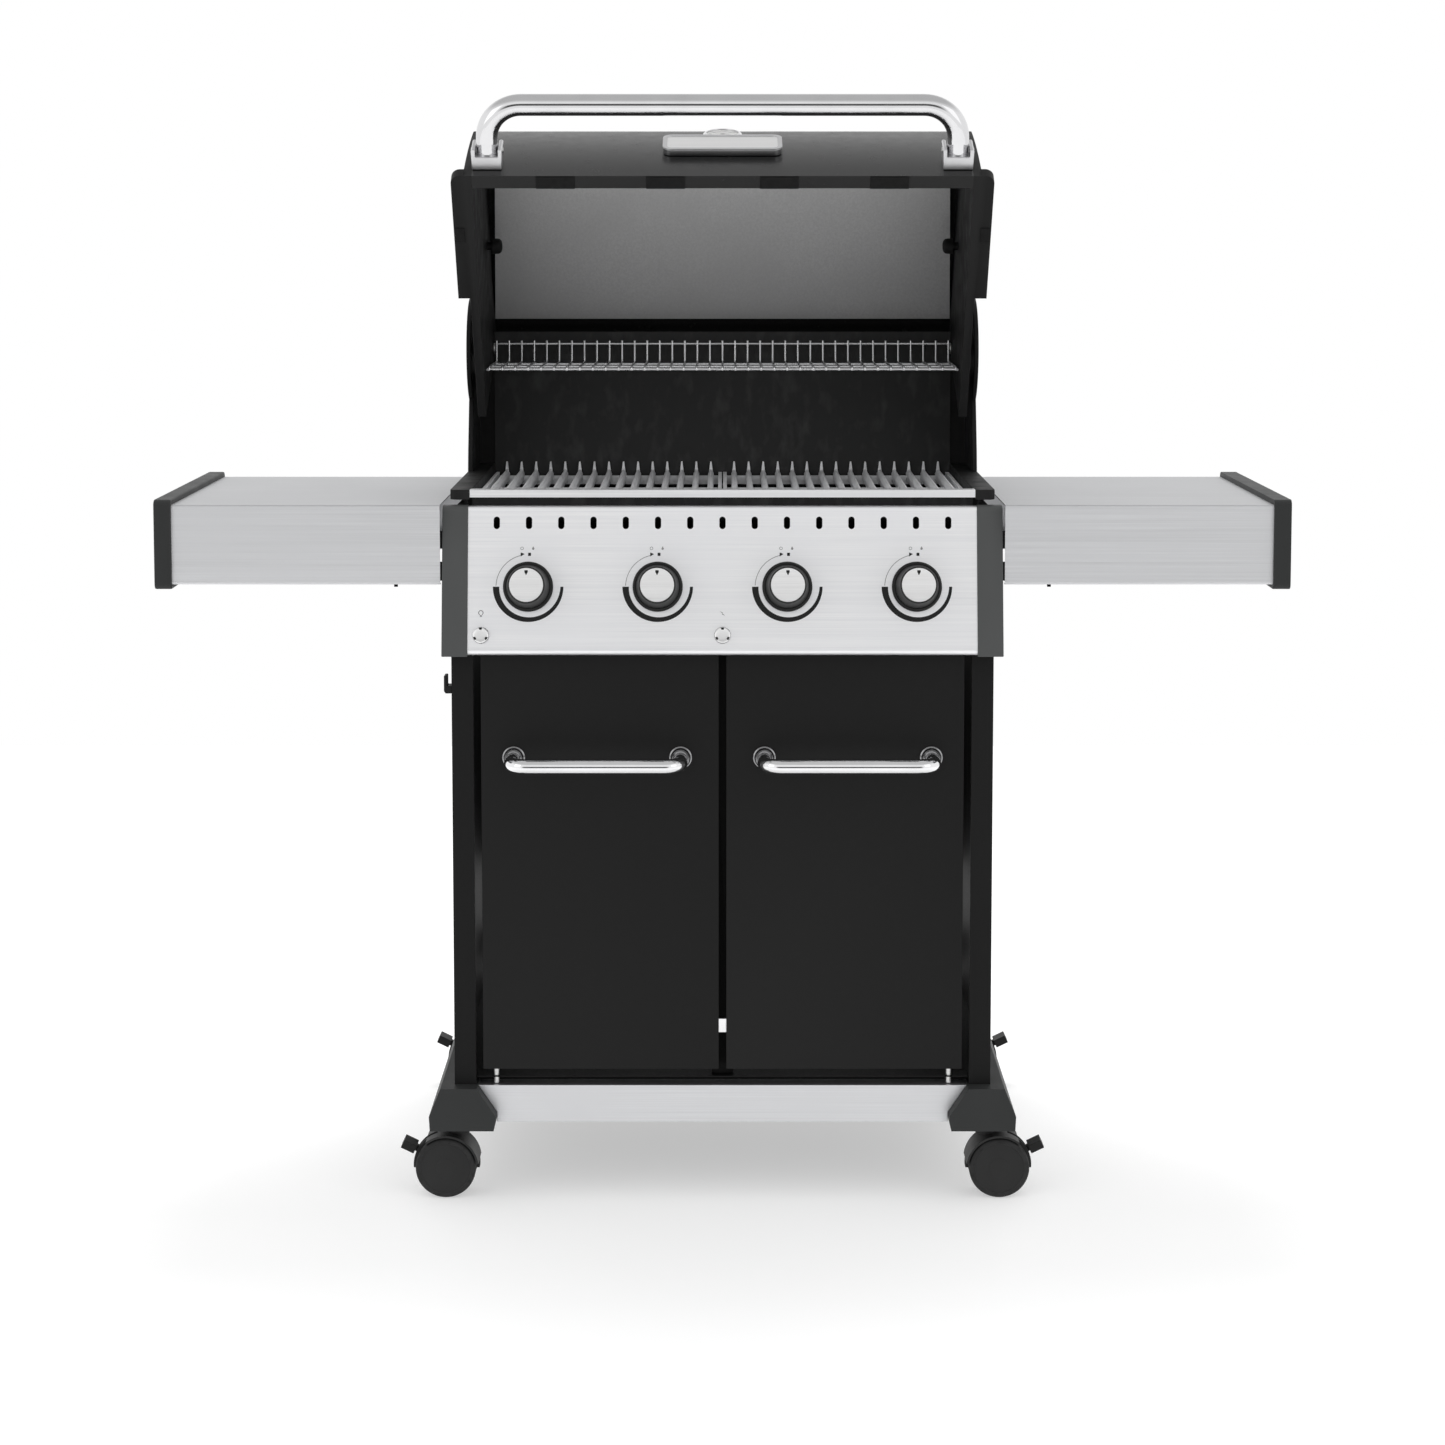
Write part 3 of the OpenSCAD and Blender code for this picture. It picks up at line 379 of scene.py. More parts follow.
def add_piece(bm, name, body, material, stands_for=()):
    """Turns a bmesh into a shaded piece that rides on a body."""
    mesh = bpy.data.meshes.new(name)
    bmesh.ops.recalc_face_normals(bm, faces=bm.faces)
    bm.to_mesh(mesh)
    bm.free()
    piece = bpy.data.objects.new(name, mesh)
    bpy.context.scene.collection.objects.link(piece)
    mesh.materials.append(material)
    shade(piece)
    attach(piece, body)
    if stands_for:
        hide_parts(*stands_for)


def add_skin(bm, node, material):
    """A piece that stands for one CAD node."""
    add_piece(bm, node + "_skin", body_of[node], material, [node])


def node_mesh(node):
    """A clean bmesh of a CAD node, flat faces joined."""
    bm = fresh()
    bm.from_mesh(nodes[node].data)
    bmesh.ops.remove_doubles(bm, verts=bm.verts, dist=2e-6)
    bmesh.ops.dissolve_limit(bm, angle_limit=math.radians(0.8), verts=bm.verts, edges=bm.edges)
    return bm


def soften(bm, width_mm, segments=2, min_deg=32):
    """Rolls over every sharp edge."""
    bm.normal_update()
    sharp = [e for e in bm.edges if e.is_manifold and e.calc_face_angle(0) > math.radians(min_deg)]
    bmesh.ops.bevel(
        bm, geom=sharp, offset=width_mm * MM, segments=segments, profile=0.6, affect="EDGES",
        clamp_overlap=True,
    )


def rounded(node, width_mm, material):
    """A node's own shape with every sharp edge rolled over."""
    bm = node_mesh(node)
    soften(bm, width_mm)
    add_skin(bm, node, material)


def lathe(bm, profile, place, sides=64):
    """Turns (radius, height) points in millimetres round the z axis of place."""
    rings = []
    for radius, height in profile:
        if radius < 1e-6:
            rings.append([bm.verts.new(place @ Vector((0, 0, height * MM)))])
            continue
        ring = []
        for i in range(sides):
            turn = 2 * math.pi * i / sides
            spot = Vector((radius * MM * math.cos(turn), radius * MM * math.sin(turn), height * MM))
            ring.append(bm.verts.new(place @ spot))
        rings.append(ring)
    for low, high in zip(rings, rings[1:]):
        for i in range(sides):
            j = (i + 1) % sides
            corners = [low[i % len(low)], low[j % len(low)], high[j % len(high)], high[i % len(high)]]
            unique = list(dict.fromkeys(corners))
            if len(unique) > 2:
                bm.faces.new(unique)


def tube(bm, path, radius_mm, place=Matrix(), sides=12):
    """A round rod along a list of points in millimetres, without twist from point to point."""
    side = None
    rings = []
    for i, spot in enumerate(path):
        ahead = (path[min(i + 1, len(path) - 1)] - path[max(i - 1, 0)]).normalized()
        if side is None:
            side = ahead.orthogonal().normalized()
        side = (side - ahead * side.dot(ahead)).normalized()
        up = ahead.cross(side)
        ring = []
        for k in range(sides):
            turn = 2 * math.pi * k / sides
            point = spot + (side * math.cos(turn) + up * math.sin(turn)) * radius_mm
            ring.append(bm.verts.new(place @ (point * MM)))
        rings.append(ring)
    for low, high in zip(rings, rings[1:]):
        for k in range(sides):
            bm.faces.new([low[k], low[(k + 1) % sides], high[(k + 1) % sides], high[k]])
    bm.faces.new(rings[0][::-1])
    bm.faces.new(rings[-1])


def bent_path(corners, bend, steps=10):
    """Points along straight runs between corners, every inner corner rounded to the radius bend."""
    points = [corners[0]]
    for before, corner, after in zip(corners, corners[1:], corners[2:]):
        back = (before - corner).normalized()
        on = (after - corner).normalized()
        half = back.angle(on) / 2
        reach = bend / math.tan(half)
        centre = corner + (back + on).normalized() * bend / math.sin(half)
        first = corner + back * reach - centre
        last = corner + on * reach - centre
        axis = first.cross(last).normalized()
        sweep = first.angle(last)
        for k in range(steps + 1):
            points.append(centre + Matrix.Rotation(sweep * k / steps, 3, axis) @ first)
    points.append(corners[-1])
    return points


def slab(bm, outline, place, low, high):
    """A flat shape, drawn as (x, y) points in millimetres, from the height low to high over place."""
    floor = [bm.verts.new(place @ Vector((x * MM, y * MM, low * MM))) for x, y in outline]
    roof = [bm.verts.new(place @ Vector((x * MM, y * MM, high * MM))) for x, y in outline]
    bm.faces.new(floor[::-1])
    bm.faces.new(roof)
    for i in range(len(floor)):
        j = (i + 1) % len(floor)
        bm.faces.new([floor[i], floor[j], roof[j], roof[i]])


def block(bm, low, high, place=Matrix()):
    """A box between two corners in millimetres."""
    outline = [(low[0], low[1]), (high[0], low[1]), (high[0], high[1]), (low[0], high[1])]
    slab(bm, outline, place, low[2], high[2])


def ribbon(bm, inner, outer, place, low, high, closed=False):
    """A strip between two lines of (x, y) points in millimetres, from the height low to high."""
    rows = []
    for (ax, ay), (bx, by) in zip(inner, outer):
        section = ((ax, ay, low), (bx, by, low), (bx, by, high), (ax, ay, high))
        rows.append([bm.verts.new(place @ (Vector(spot) * MM)) for spot in section])
    for i in range(len(rows) if closed else len(rows) - 1):
        near, far = rows[i], rows[(i + 1) % len(rows)]
        for k in range(4):
            m = (k + 1) % 4
            bm.faces.new([near[k], near[m], far[m], far[k]])
    if not closed:
        bm.faces.new(rows[0][::-1])
        bm.faces.new(rows[-1])


def arc(x, y, radius, start, stop, steps=24):
    """Points on an arc in the plane, from the angle start to stop in degrees."""
    turns = [math.radians(start + (stop - start) * k / steps) for k in range(steps + 1)]
    return [(x + radius * math.cos(a), y + radius * math.sin(a)) for a in turns]


def rounded_outline(half_w, half_h, radius, inset=0.0):
    """A rectangle with round corners, shrunk by inset."""
    w, h, r = half_w - radius, half_h - radius, max(radius - inset, 0.2)
    grow = radius - inset - r
    centres = ((w, h, 0), (-w, h, 90), (-w, -h, 180), (w, -h, 270))
    points = []
    for x, y, turn in centres:
        x += math.copysign(grow, x)
        y += math.copysign(grow, y)
        points += arc(x, y, r, turn, turn + 90, 6)
    return points


# turns a shape drawn in (y, z) into one drawn out along x
SECTION = Matrix(((0, 0, 1, 0), (1, 0, 0, 0), (0, 1, 0, 0), (0, 0, 0, 1)))


def sheet(bm, line, thickness, bend, x0, x1):
    """A bent sheet from x0 to x1, its outer side on a line of (y, z) points in millimetres.

    The sheet's thickness lies to the right of the line."""
    outer = [p.to_2d() for p in bent_path([Vector((*p, 0)) for p in line], bend, 6)]
    inner = []
    for i, spot in enumerate(outer):
        before = (spot - outer[i - 1]).normalized() if i else (outer[1] - spot).normalized()
        after = (outer[i + 1] - spot).normalized() if i + 1 < len(outer) else before
        ahead = (before + after).normalized()
        shift = thickness / max(ahead.dot(before), 0.5)
        inner.append(spot + Vector((ahead.y, -ahead.x)) * shift)
    ribbon(bm, inner, outer, SECTION, x0, x1)


def bolt(bm, place, radius=5.0, height=2.4):
    """A pan head over place, with a dimple for the driver."""
    profile = [
        (radius, 0), (radius, height * 0.35), (radius * 0.8, height * 0.85), (radius * 0.45, height),
        (radius * 0.3, height), (radius * 0.2, height * 0.6), (0, height * 0.55),
    ]
    lathe(bm, profile, place, 20)


# ------------------------------------------------------------------ places


def rig(origin, x_axis, z_axis):
    """The placing matrix of a frame with the given origin, x and z directions."""
    z = Vector(z_axis).normalized()
    y = z.cross(Vector(x_axis)).normalized()
    x = y.cross(z)
    placed = Matrix((x, y, z)).transposed().to_4x4()
    placed.translation = Vector(origin)
    return placed


def extent(node, place=Matrix()):
    """Lowest and highest corner of a node in millimetres, seen in the frame of place."""
    back = place.inverted()
    spots = [(back @ v.co) / MM for v in nodes[node].data.vertices]
    return [Vector([pick(s[k] for s in spots) for k in range(3)]) for pick in (min, max)]


def node_points(node):
    """A node's vertices in millimetres."""
    return [v.co / MM for v in nodes[node].data.vertices]


def broad_face(node):
    """Frame on the middle of a node's largest side that looks upwards, and the node's size in it."""
    totals = {}
    for face in nodes[node].data.polygons:
        if face.normal.z > 0:
            key = tuple(round(c, 3) for c in face.normal)
            totals[key] = totals.get(key, 0) + face.area
    turn = rig((0, 0, 0), (1, 0, 0), max(totals, key=totals.get))
    low, high = extent(node, turn)
    middle = Vector(((low.x + high.x) / 2, (low.y + high.y) / 2, high.z))
    placed = turn.copy()
    placed.translation = turn @ (middle * MM)
    return placed, high - low


def bow_rig(node):
    """Frame, half leg distance, reach, bend and tube radius of a bow handle, measured on its node.

    x runs along the bar, z from the legs' feet to the bar."""
    spots = node_points(node)
    middle_x = (min(s.x for s in spots) + max(s.x for s in spots)) / 2
    straight = min(abs(s.x - middle_x) for s in spots)
    bar_ring = [s for s in spots if abs(s.x - middle_x) < straight + 0.1]
    bar = sum(bar_ring, Vector()) / len(bar_ring)
    away = [math.hypot(s.y - bar.y, s.z - bar.z) for s in spots]
    feet = [spot for spot, far in zip(spots, away) if far > max(away) * 0.93]
    foot = sum(feet, Vector()) / len(feet)
    half = sum(abs(s.x - middle_x) for s in feet) / len(feet)
    bar.x = foot.x = middle_x
    radius = (max(s.y for s in bar_ring) - min(s.y for s in bar_ring)) / 2
    return rig(foot * MM, (1, 0, 0), bar - foot), half, (bar - foot).length, half - straight, radius


panel_out = Vector(joints["knob_1_turn"]["axis"])
knob_places = [rig(joints["knob_%d_turn" % i]["pos_m"], (1, 0, 0), panel_out) for i in (1, 2, 3, 4)]
panel_low, panel_high = extent("control_panel")
panel_place = rig((0, panel_low.y * MM, panel_low.z * MM), (1, 0, 0), panel_out)
panel_up = panel_place.to_3x3() @ Vector((0, 1, 0))


# ------------------------------------------------------------------ pieces with a CAD node's own shape


CORNERS = [(end, side) for end in ("front", "rear") for side in ("left", "right")]

# node, width of its rolled edges in millimetres, material
ROUNDED = [
    ("foot_beams", 3.5, foot_grey),
    ("base_shelf", 0.4, paint_black),
    ("lower_rail", 0.7, bright_steel),
    ("side_panel_left", 0.5, paint_black),
    ("side_panel_right", 0.5, paint_black),
    ("cross_rails", 0.5, paint_black),
    ("centre_stile", 0.5, paint_black),
    ("shelf_brackets", 0.8, paint_black),
    ("side_hook", 1.0, black_plastic),
    ("firebox_end_left", 1.2, cast_black),
    ("firebox_end_right", 1.2, cast_black),
    ("firebox_tub", 0.4, tub_black),
    ("front_lip", 0.5, steel),
    ("panel_end_caps", 1.2, cap_grey),
    ("gas_manifold", 0.8, valve_brass),
    ("burner_tubes", 0.4, plain_sheet),
    ("heat_plates", 0.4, plain_sheet),
    ("cooking_grates", 0.9, grate_metal),
    ("igniter_set", 0.5, black_plastic),
    ("door_hinge_pins", 0.5, zinc),
    ("lid_pivot_bolts", 0.8, zinc),
    ("lid_shell", 0.5, enamel_black),
    ("lid_end_left", 1.5, cast_black),
    ("lid_end_right", 1.5, cast_black),
    ("lid_liner", 0.3, liner_sheet),
    ("lid_bumpers", 0.6, pad_rubber),
    ("door_left", 1.0, door_black),
    ("door_right", 1.0, door_black),
    ("shelf_cap_left", 2.0, end_grey),
    ("shelf_cap_right", 2.0, end_grey),
    ("drip_tray", 0.4, plain_sheet),
]
for end, side in CORNERS:
    ROUNDED.append(("caster_fork_%s_%s" % (end, side), 0.8, caster_plastic))
    ROUNDED.append(("caster_brake_%s_%s" % (end, side), 2.6, black_plastic))


# ------------------------------------------------------------------ control panel


def make_panel():
    """The steel face with its holes, and full-radius folds along its lower and upper edges."""
    thickness, low_bend, high_bend = 1.5, 7.0, 4.0
    overlap = 3
    low_cut, high_cut = low_bend + overlap, high_bend + overlap
    rise = (panel_high.z - panel_low.z) / panel_up.z
    bm = node_mesh("control_panel")
    for height, keep in ((low_cut, {"clear_inner": True}), (rise - high_cut, {"clear_outer": True})):
        bmesh.ops.bisect_plane(
            bm, geom=bm.verts[:] + bm.edges[:] + bm.faces[:], plane_no=panel_up,
            plane_co=panel_place @ Vector((0, height * MM, 0)), **keep
        )

    def on_face(height):
        spot = panel_place @ Vector((0, height * MM, 0))
        return spot.y / MM, spot.z / MM

    spots = node_points("control_panel")
    low_back = max(s.y for s in spots if s.z < panel_low.z + 1)
    high_back = max(s.y for s in spots if s.z > panel_high.z - 1)
    ends = panel_low.x, panel_high.x
    low_fold = [(low_back, panel_low.z), on_face(0), on_face(low_cut)]
    high_fold = [on_face(rise - high_cut), on_face(rise), (high_back, panel_high.z)]
    sheet(bm, low_fold, thickness, low_bend, *ends)
    sheet(bm, high_fold, thickness, high_bend, *ends)
    add_skin(bm, "control_panel", steel)


def make_bezels():
    """Rings round the knobs: a flared foot, a rolled lip and a sunken floor."""
    bore, floor, lip, foot = 10, 4.4, 6.0, 32
    bm = fresh()
    for place in knob_places:
        lathe(bm, [
            (bore, 0), (foot - 0.8, 0), (foot, 0.7), (foot, 2.2), (31.5, 3.1), (29.6, 5.5), (29.0, 5.9),
            (28.4, lip), (27.9, 5.7), (27.6, floor), (bore, floor), (bore, 0),
        ], place)
    add_skin(bm, "knob_bezels", black_plastic)


def make_knob(number, place):
    """Black skirted knob with a satin steel face and a dark pointer mark."""
    node = "knob_%d" % number
    body = body_of[node]
    low, high = extent(node, place)
    top, under, stem, skirt, face_sunk = high.z, 6.4, 4, 27.5, 0.8
    bm = fresh()
    lathe(bm, [
        (0, low.z), (stem, low.z), (stem, under), (skirt - 0.9, under), (skirt - 0.1, under + 0.5),
        (skirt, 8.4), (27.1, 9.6), (26.3, 10.8), (24.5, 26), (23.7, top - 3.2), (23.4, top - 1.6),
        (22.8, top - 0.5), (22.2, top), (21.7, top - 0.1), (21.6, top - face_sunk), (0, top - face_sunk),
    ], place)
    add_skin(bm, node, knob_plastic)
    bm = fresh()
    lathe(bm, [
        (21.5, top - face_sunk), (21.4, top - 0.4), (20.8, top - 0.25), (12, top - 0.1), (0, top),
    ], place)
    add_piece(bm, node + "_face", body, disc_steel)
    bm = fresh()
    mark = [(-2.0, 18.6), (-2.2, 16.4), (0, 12.2), (2.2, 16.4), (2.0, 18.6)]
    slab(bm, mark, place, top - 0.3, top + 0.05)
    add_piece(bm, node + "_pointer", body, print_black)


# lower and upper side of printed marks, in millimetres over the panel
PRINT = 0.05, 0.2


def make_dial_print(number, place):
    """What is printed round a knob: swelling scale, thin sweep line, arrow, square, ring and flame."""
    radius, wide, narrow, steps = 45, 8.2, 3.8, 40
    bm = fresh()
    outer = arc(0, 0, radius, 180, 360, steps)
    inner = []
    for k, (x, y) in enumerate(outer):
        shrink = 1 - (wide - (wide - narrow) * k / steps) / radius
        inner.append((x * shrink, y * shrink))
    ribbon(bm, inner, outer, place, *PRINT)
    arrow = [(-9.6, 43.8), (-9.8, 38.6), (-4.8, 41.8)]
    slab(bm, arrow, place, *PRINT)
    block(bm, (-0.2, 39.4, PRINT[0]), (3.4, 43.4, PRINT[1]), place)
    add_piece(bm, "dial_scale_%d" % number, "root", print_black)
    bm = fresh()
    ribbon(bm, arc(0, 0, 40.6, 104, 178), arc(0, 0, 41.4, 104, 178), place, *PRINT)
    ribbon(bm, arc(-8, 49, 1.5, 0, 360, 16), arc(-8, 49, 2.1, 0, 360, 16), place, *PRINT)
    flame = [(4.6, 48), (6.2, 46.9), (7.8, 48), (7.6, 49.4), (6.2, 51.6), (5.2, 49.8)]
    slab(bm, flame, place, *PRINT)
    add_piece(bm, "dial_marks_%d" % number, "root", print_grey)


def make_button(node):
    """Chrome push button: slightly domed face, stem, three dark notches in its rim. Gives back its frame."""
    low, high = extent(node, panel_place)
    middle = (low + high) / 2
    place = panel_place @ Matrix.Translation((middle.x * MM, middle.y * MM, 0))
    radius, top, stem = (high.x - low.x) / 2, high.z, 4
    under = top - 12.5
    bm = fresh()
    lathe(bm, [
        (0, low.z), (stem, low.z), (stem, under), (radius, under), (radius, top - 1.8),
        (radius - 0.5, top - 0.8), (radius - 1.5, top - 0.2), (radius * 0.5, top - 0.05), (0, top),
    ], place)
    add_skin(bm, node, button_chrome)
    bm = fresh()
    for turn in (90, 210, 330):
        rim = arc(0, 0, radius - 0.6, turn - 14, turn + 14, 6)
        ribbon(bm, arc(0, 0, radius - 3.4, turn - 11, turn + 11, 6), rim, place, top - 0.6, top + 0.05)
    add_piece(bm, node + "_notches", body_of[node], print_black)
    return place


def make_icons(light_place, spark_place):
    """A lamp over the light button and a spark over the ignition button."""
    bm = fresh()
    lamp_y, lamp_r, line = 28.6, 2.5, 0.7
    ribbon(bm, arc(0, lamp_y, lamp_r, -60, 240), arc(0, lamp_y, lamp_r + line, -60, 240), light_place, *PRINT)
    for y in (25.2, 23.8):
        block(bm, (-1.3, y - line / 2, PRINT[0]), (1.3, y + line / 2, PRINT[1]), light_place)
    spark = [(-3.6, 31.0), (0.6, 28.4), (-0.2, 27.6), (3.4, 24.6), (-0.8, 27.0), (0.0, 27.9)]
    slab(bm, spark[::-1], spark_place, *PRINT)
    add_piece(bm, "panel_icons", "root", print_black)


# ------------------------------------------------------------------ lid


def make_bow(node, sides):
    """A handle of round tube. Gives back its mesh, its frame, half the leg distance and the tube radius."""
    place, half, reach, bend, radius = bow_rig(node)
    corners = [Vector((x, 0, z)) for x, z in ((-half, 0), (-half, reach), (half, reach), (half, 0))]
    bm = fresh()
    tube(bm, bent_path(corners, bend, 16), radius, place, sides)
    return bm, place, half, radius


def make_lid_handle():
    """Chrome bow, its two forked feet, and the screws through their cheeks."""
    bm, place, half, radius = make_bow("lid_handle", 40)
    add_skin(bm, "lid_handle", handle_chrome)
    low, high = extent("handle_brackets", place)
    tall, half_deep, wide = high.z, high.y - 1.5, high.x - half
    slot, slot_floor, screw_z, curve = radius + 0.6, tall * 0.62, tall * 0.72, 3
    feet, screws = fresh(), fresh()
    for x in (-half, half):
        front = place @ Matrix.Translation((x * MM, 0, 0)) @ Matrix.Rotation(math.pi / 2, 4, "X")
        outline = [(-wide, low.z), (wide, low.z)]
        outline += arc(wide - 2, tall - curve, curve, 0, 90, 4) + [(slot, tall - 1), (slot, slot_floor)]
        outline += [(-slot, slot_floor), (-slot, tall - 1)] + arc(2 - wide, tall - curve, curve, 90, 180, 4)
        slab(feet, outline, front, -half_deep, half_deep)
        for side in (-1, 1):
            spot = Vector((x + side * wide, 0, screw_z)) * MM
            bolt(screws, rig(place @ spot, (0, 0, 1), (side, 0, 0)), 4.2, 2.0)
    soften(feet, 1.3, 3)
    add_skin(feet, "handle_brackets", bracket_metal)
    add_piece(screws, "handle_screws", "lid", zinc)


def make_badge():
    """Blank name plate: darkened chrome pedestal as painted shade under the plate, pillowed chrome frame, satin
    field.
    """
    place, size = broad_face("lid_badge")
    half_w, half_h, corner, rim, step = size.x / 2, size.y / 2, 12, 4.5, 1.5
    frame_low, frame_mid, field_top = -2.5, -1.2, -0.9
    bm = fresh()
    slab(bm, rounded_outline(half_w - 1, half_h - 1, corner - 1), place, -size.z, frame_low + 0.1)
    soften(bm, 1.0)
    # the pedestal's darkened chrome is painted shade under the plate
    add_skin(bm, "lid_badge", painted_shade_chrome)
    bm = fresh()
    outside = rounded_outline(half_w, half_h, corner)
    slab(bm, outside, place, frame_low, frame_mid)
    inside = rounded_outline(half_w - step, half_h - step, corner - 1, rim)
    ribbon(bm, inside, outside, place, frame_mid - 0.1, 0, closed=True)
    soften(bm, 0.5)
    add_piece(bm, "lid_badge_frame", "lid", bracket_metal)
    bm = fresh()
    field = rounded_outline(half_w - step, half_h - step, corner - 1, rim - 0.5)
    slab(bm, field, place, frame_mid - 0.2, field_top)
    add_piece(bm, "lid_badge_field", "lid", disc_steel)


def make_thermometer():
    """Dial thermometer: chrome case, white dial with ticks and a heat band, needle and glass."""
    place, size = broad_face("thermometer")
    radius, thick, probe, floor = size.x / 2, 6.0, 3, -2.8
    bm = fresh()
    lathe(bm, [
        (0, -size.z), (probe, -size.z), (probe, -thick), (radius, -thick), (radius, -3.4),
        (radius - 0.7, -1.6), (radius - 2.2, -0.3), (radius - 3.6, 0), (radius - 4.8, -0.5),
        (radius - 5.2, floor), (0, floor),
    ], place)
    add_skin(bm, "thermometer", chrome)
    face, paper, print_top = radius - 5.4, -2.5, -2.4
    bm = fresh()
    lathe(bm, [(face, floor), (face, paper), (0, paper)], place)
    add_piece(bm, "thermometer_dial", "lid", dial_white)
    bm = fresh()
    ticks, first_deg, sweep_deg, tick_end = 24, 225, 270, face - 1.5
    for k in range(ticks + 1):
        turn = math.radians(first_deg - k * sweep_deg / ticks)
        long = 4.2 if k % 4 == 0 else 2.4
        spot = place @ Matrix.Rotation(turn, 4, "Z")
        block(bm, (tick_end - long, -0.25, paper), (tick_end, 0.25, print_top), spot)
    ribbon(bm, arc(0, 0, face - 8, 20, 160), arc(0, 0, face - 6.6, 20, 160), place, paper, print_top)
    needle = [(-5, -1.1), (face - 4, -0.3), (face - 4, 0.3), (-5, 1.1)]
    cold = place @ Matrix.Rotation(math.radians(first_deg + 3), 4, "Z")
    slab(bm, needle, cold, print_top + 0.1, print_top + 0.4)
    lathe(bm, [(2, print_top), (2, -1.6), (0, -1.5)], place, 24)
    add_piece(bm, "thermometer_marks", "lid", print_black)
    bm = fresh()
    lathe(bm, [(0, -1.4), (face, -1.4), (face, -0.9), (0, -0.9)], place)
    add_piece(bm, "thermometer_glass", "lid", glass)


def make_stops():
    """Domed rubber caps on the studs that stick out of the lid's inner sides."""
    dome = [(0, -1), (10.5, -1), (10.5, 7), (9.8, 9.6), (7.6, 11.8), (4.5, 12.8), (0, 13)]
    bm = fresh()
    for side, sign in (("left", 1), ("right", -1)):
        spots = node_points("lid_end_" + side)
        reach = min(abs(s.x) for s in spots)
        tip = [s for s in spots if abs(s.x) < reach + 0.2]
        place = rig(sum(tip, Vector()) / len(tip) * MM, (0, 0, 1), (sign, 0, 0))
        lathe(bm, dome, place, 32)
    add_piece(bm, "lid_stops", "lid", pad_rubber)


# ------------------------------------------------------------------ cook box


def make_rack():
    """Warming rack of round wires: long rods, cross wires curled down in front, a guard row behind."""
    low, high = extent("warming_rack")
    spots = node_points("warming_rack")
    tops = sorted({round(s.x, 2) for s in spots if s.z > high.z - 0.5})
    wires = [(a + b) / 2 for a, b in zip(tops[::2], tops[1::2])]
    front = low.y
    back = min(s.y for s in spots if s.z > high.z - 0.5) + 1.5  # the guard row's middle line
    guard, thin, rod = 32, 1.5, 1.9
    deck = high.z - guard
    bm = fresh()
    for y in (front + 2, (front + back) / 2, back):
        tube(bm, [Vector((low.x + 3, y, deck - thin)), Vector((high.x - 3, y, deck - thin))], rod)
    ends = Vector((wires[0] - 1, back, high.z - 5)), Vector((wires[-1] + 1, back, high.z - 5))
    tube(bm, list(ends), thin * 0.9, sides=10)
    for x in wires:
        lip = [Vector((x, front + 1.5, deck - 3)), Vector((x, front + 1.5, deck + 1.5))]
        rest = [Vector((x, back, deck + 1.5)), Vector((x, back, high.z - 0.5))]
        tube(bm, bent_path(lip + rest, 2.2, 4), thin, sides=10)
    wall = high.y
    for x in (low.x + 1.6, high.x - 1.6):
        tube(bm, [Vector((x, front, deck - 2)), Vector((x, wall, deck - 2))], rod)
    add_skin(bm, "warming_rack", wire_chrome)


# ------------------------------------------------------------------ doors and cart


def make_door_handle(side):
    """Chrome bow with a stepped rosette round each leg; the rosettes are darkened chrome, dark like black nickel
    and partly a painted reflection of dark surroundings.
    """
    node = "door_handle_" + side
    bow, place, half, radius = make_bow(node, 28)
    add_skin(bow, node, chrome)
    bore = radius - 1
    bm = fresh()
    for x in (-half, half):
        foot = place @ Matrix.Translation((x * MM, 0, 0))
        lathe(bm, [
            (bore, 0), (15, 0), (15, 1.4), (14.4, 2.2), (13.2, 2.6), (12.6, 3.2), (12.2, 6.2), (11.4, 7.6),
            (bore, 8),
        ], foot, 40)
    # darkened chrome: partly a painted reflection of dark surroundings
    add_piece(bm, node + "_rosettes", body_of[node], painted_shade_chrome)


def make_catch():
    """Bright strike on the stile, seen through the slit between the doors."""
    front = extent("centre_stile")[0].y
    plate = [s.z for s in node_points("centre_stile") if s.y < front + 0.2]
    bm = fresh()
    half_w, thick, margin = 6, 0.8, 2
    block(bm, (-half_w, front - thick, min(plate) + margin), (half_w, front + 0.1, max(plate) - margin))
    soften(bm, 0.3)
    add_piece(bm, "door_strike", "root", chrome)


def make_bolts():
    """Heads of the screws that hold the cart together."""
    bm = fresh()
    low, high = extent("side_panel_right")
    wall, front, back = high.x, low.y, high.y
    head_row, shelf_row, foot_row = high.z - 42, high.z - 77, low.z + 16
    brace_rows = low.z + 53, low.z + 507
    bracket_thick, edge = 3, 14
    panel_screws = [
        (front + 85, head_row), (front + 375, head_row), (front + 300, foot_row), (front + 545, foot_row),
    ]
    for side in (-1, 1):
        out = (side, 0, 0)
        for y, z in panel_screws:
            bolt(bm, rig(Vector((side * wall, y, z)) * MM, (0, 0, 1), out))
        for y in (front + 60, front + 350):
            spot = Vector((side * (wall + bracket_thick), y, shelf_row))
            bolt(bm, rig(spot * MM, (0, 0, 1), out), 4.5)
        for z in brace_rows:
            bolt(bm, rig(Vector((side * (wall - edge), back, z)) * MM, (1, 0, 0), (0, 1, 0)))
    add_piece(bm, "cart_screws", "root", zinc)


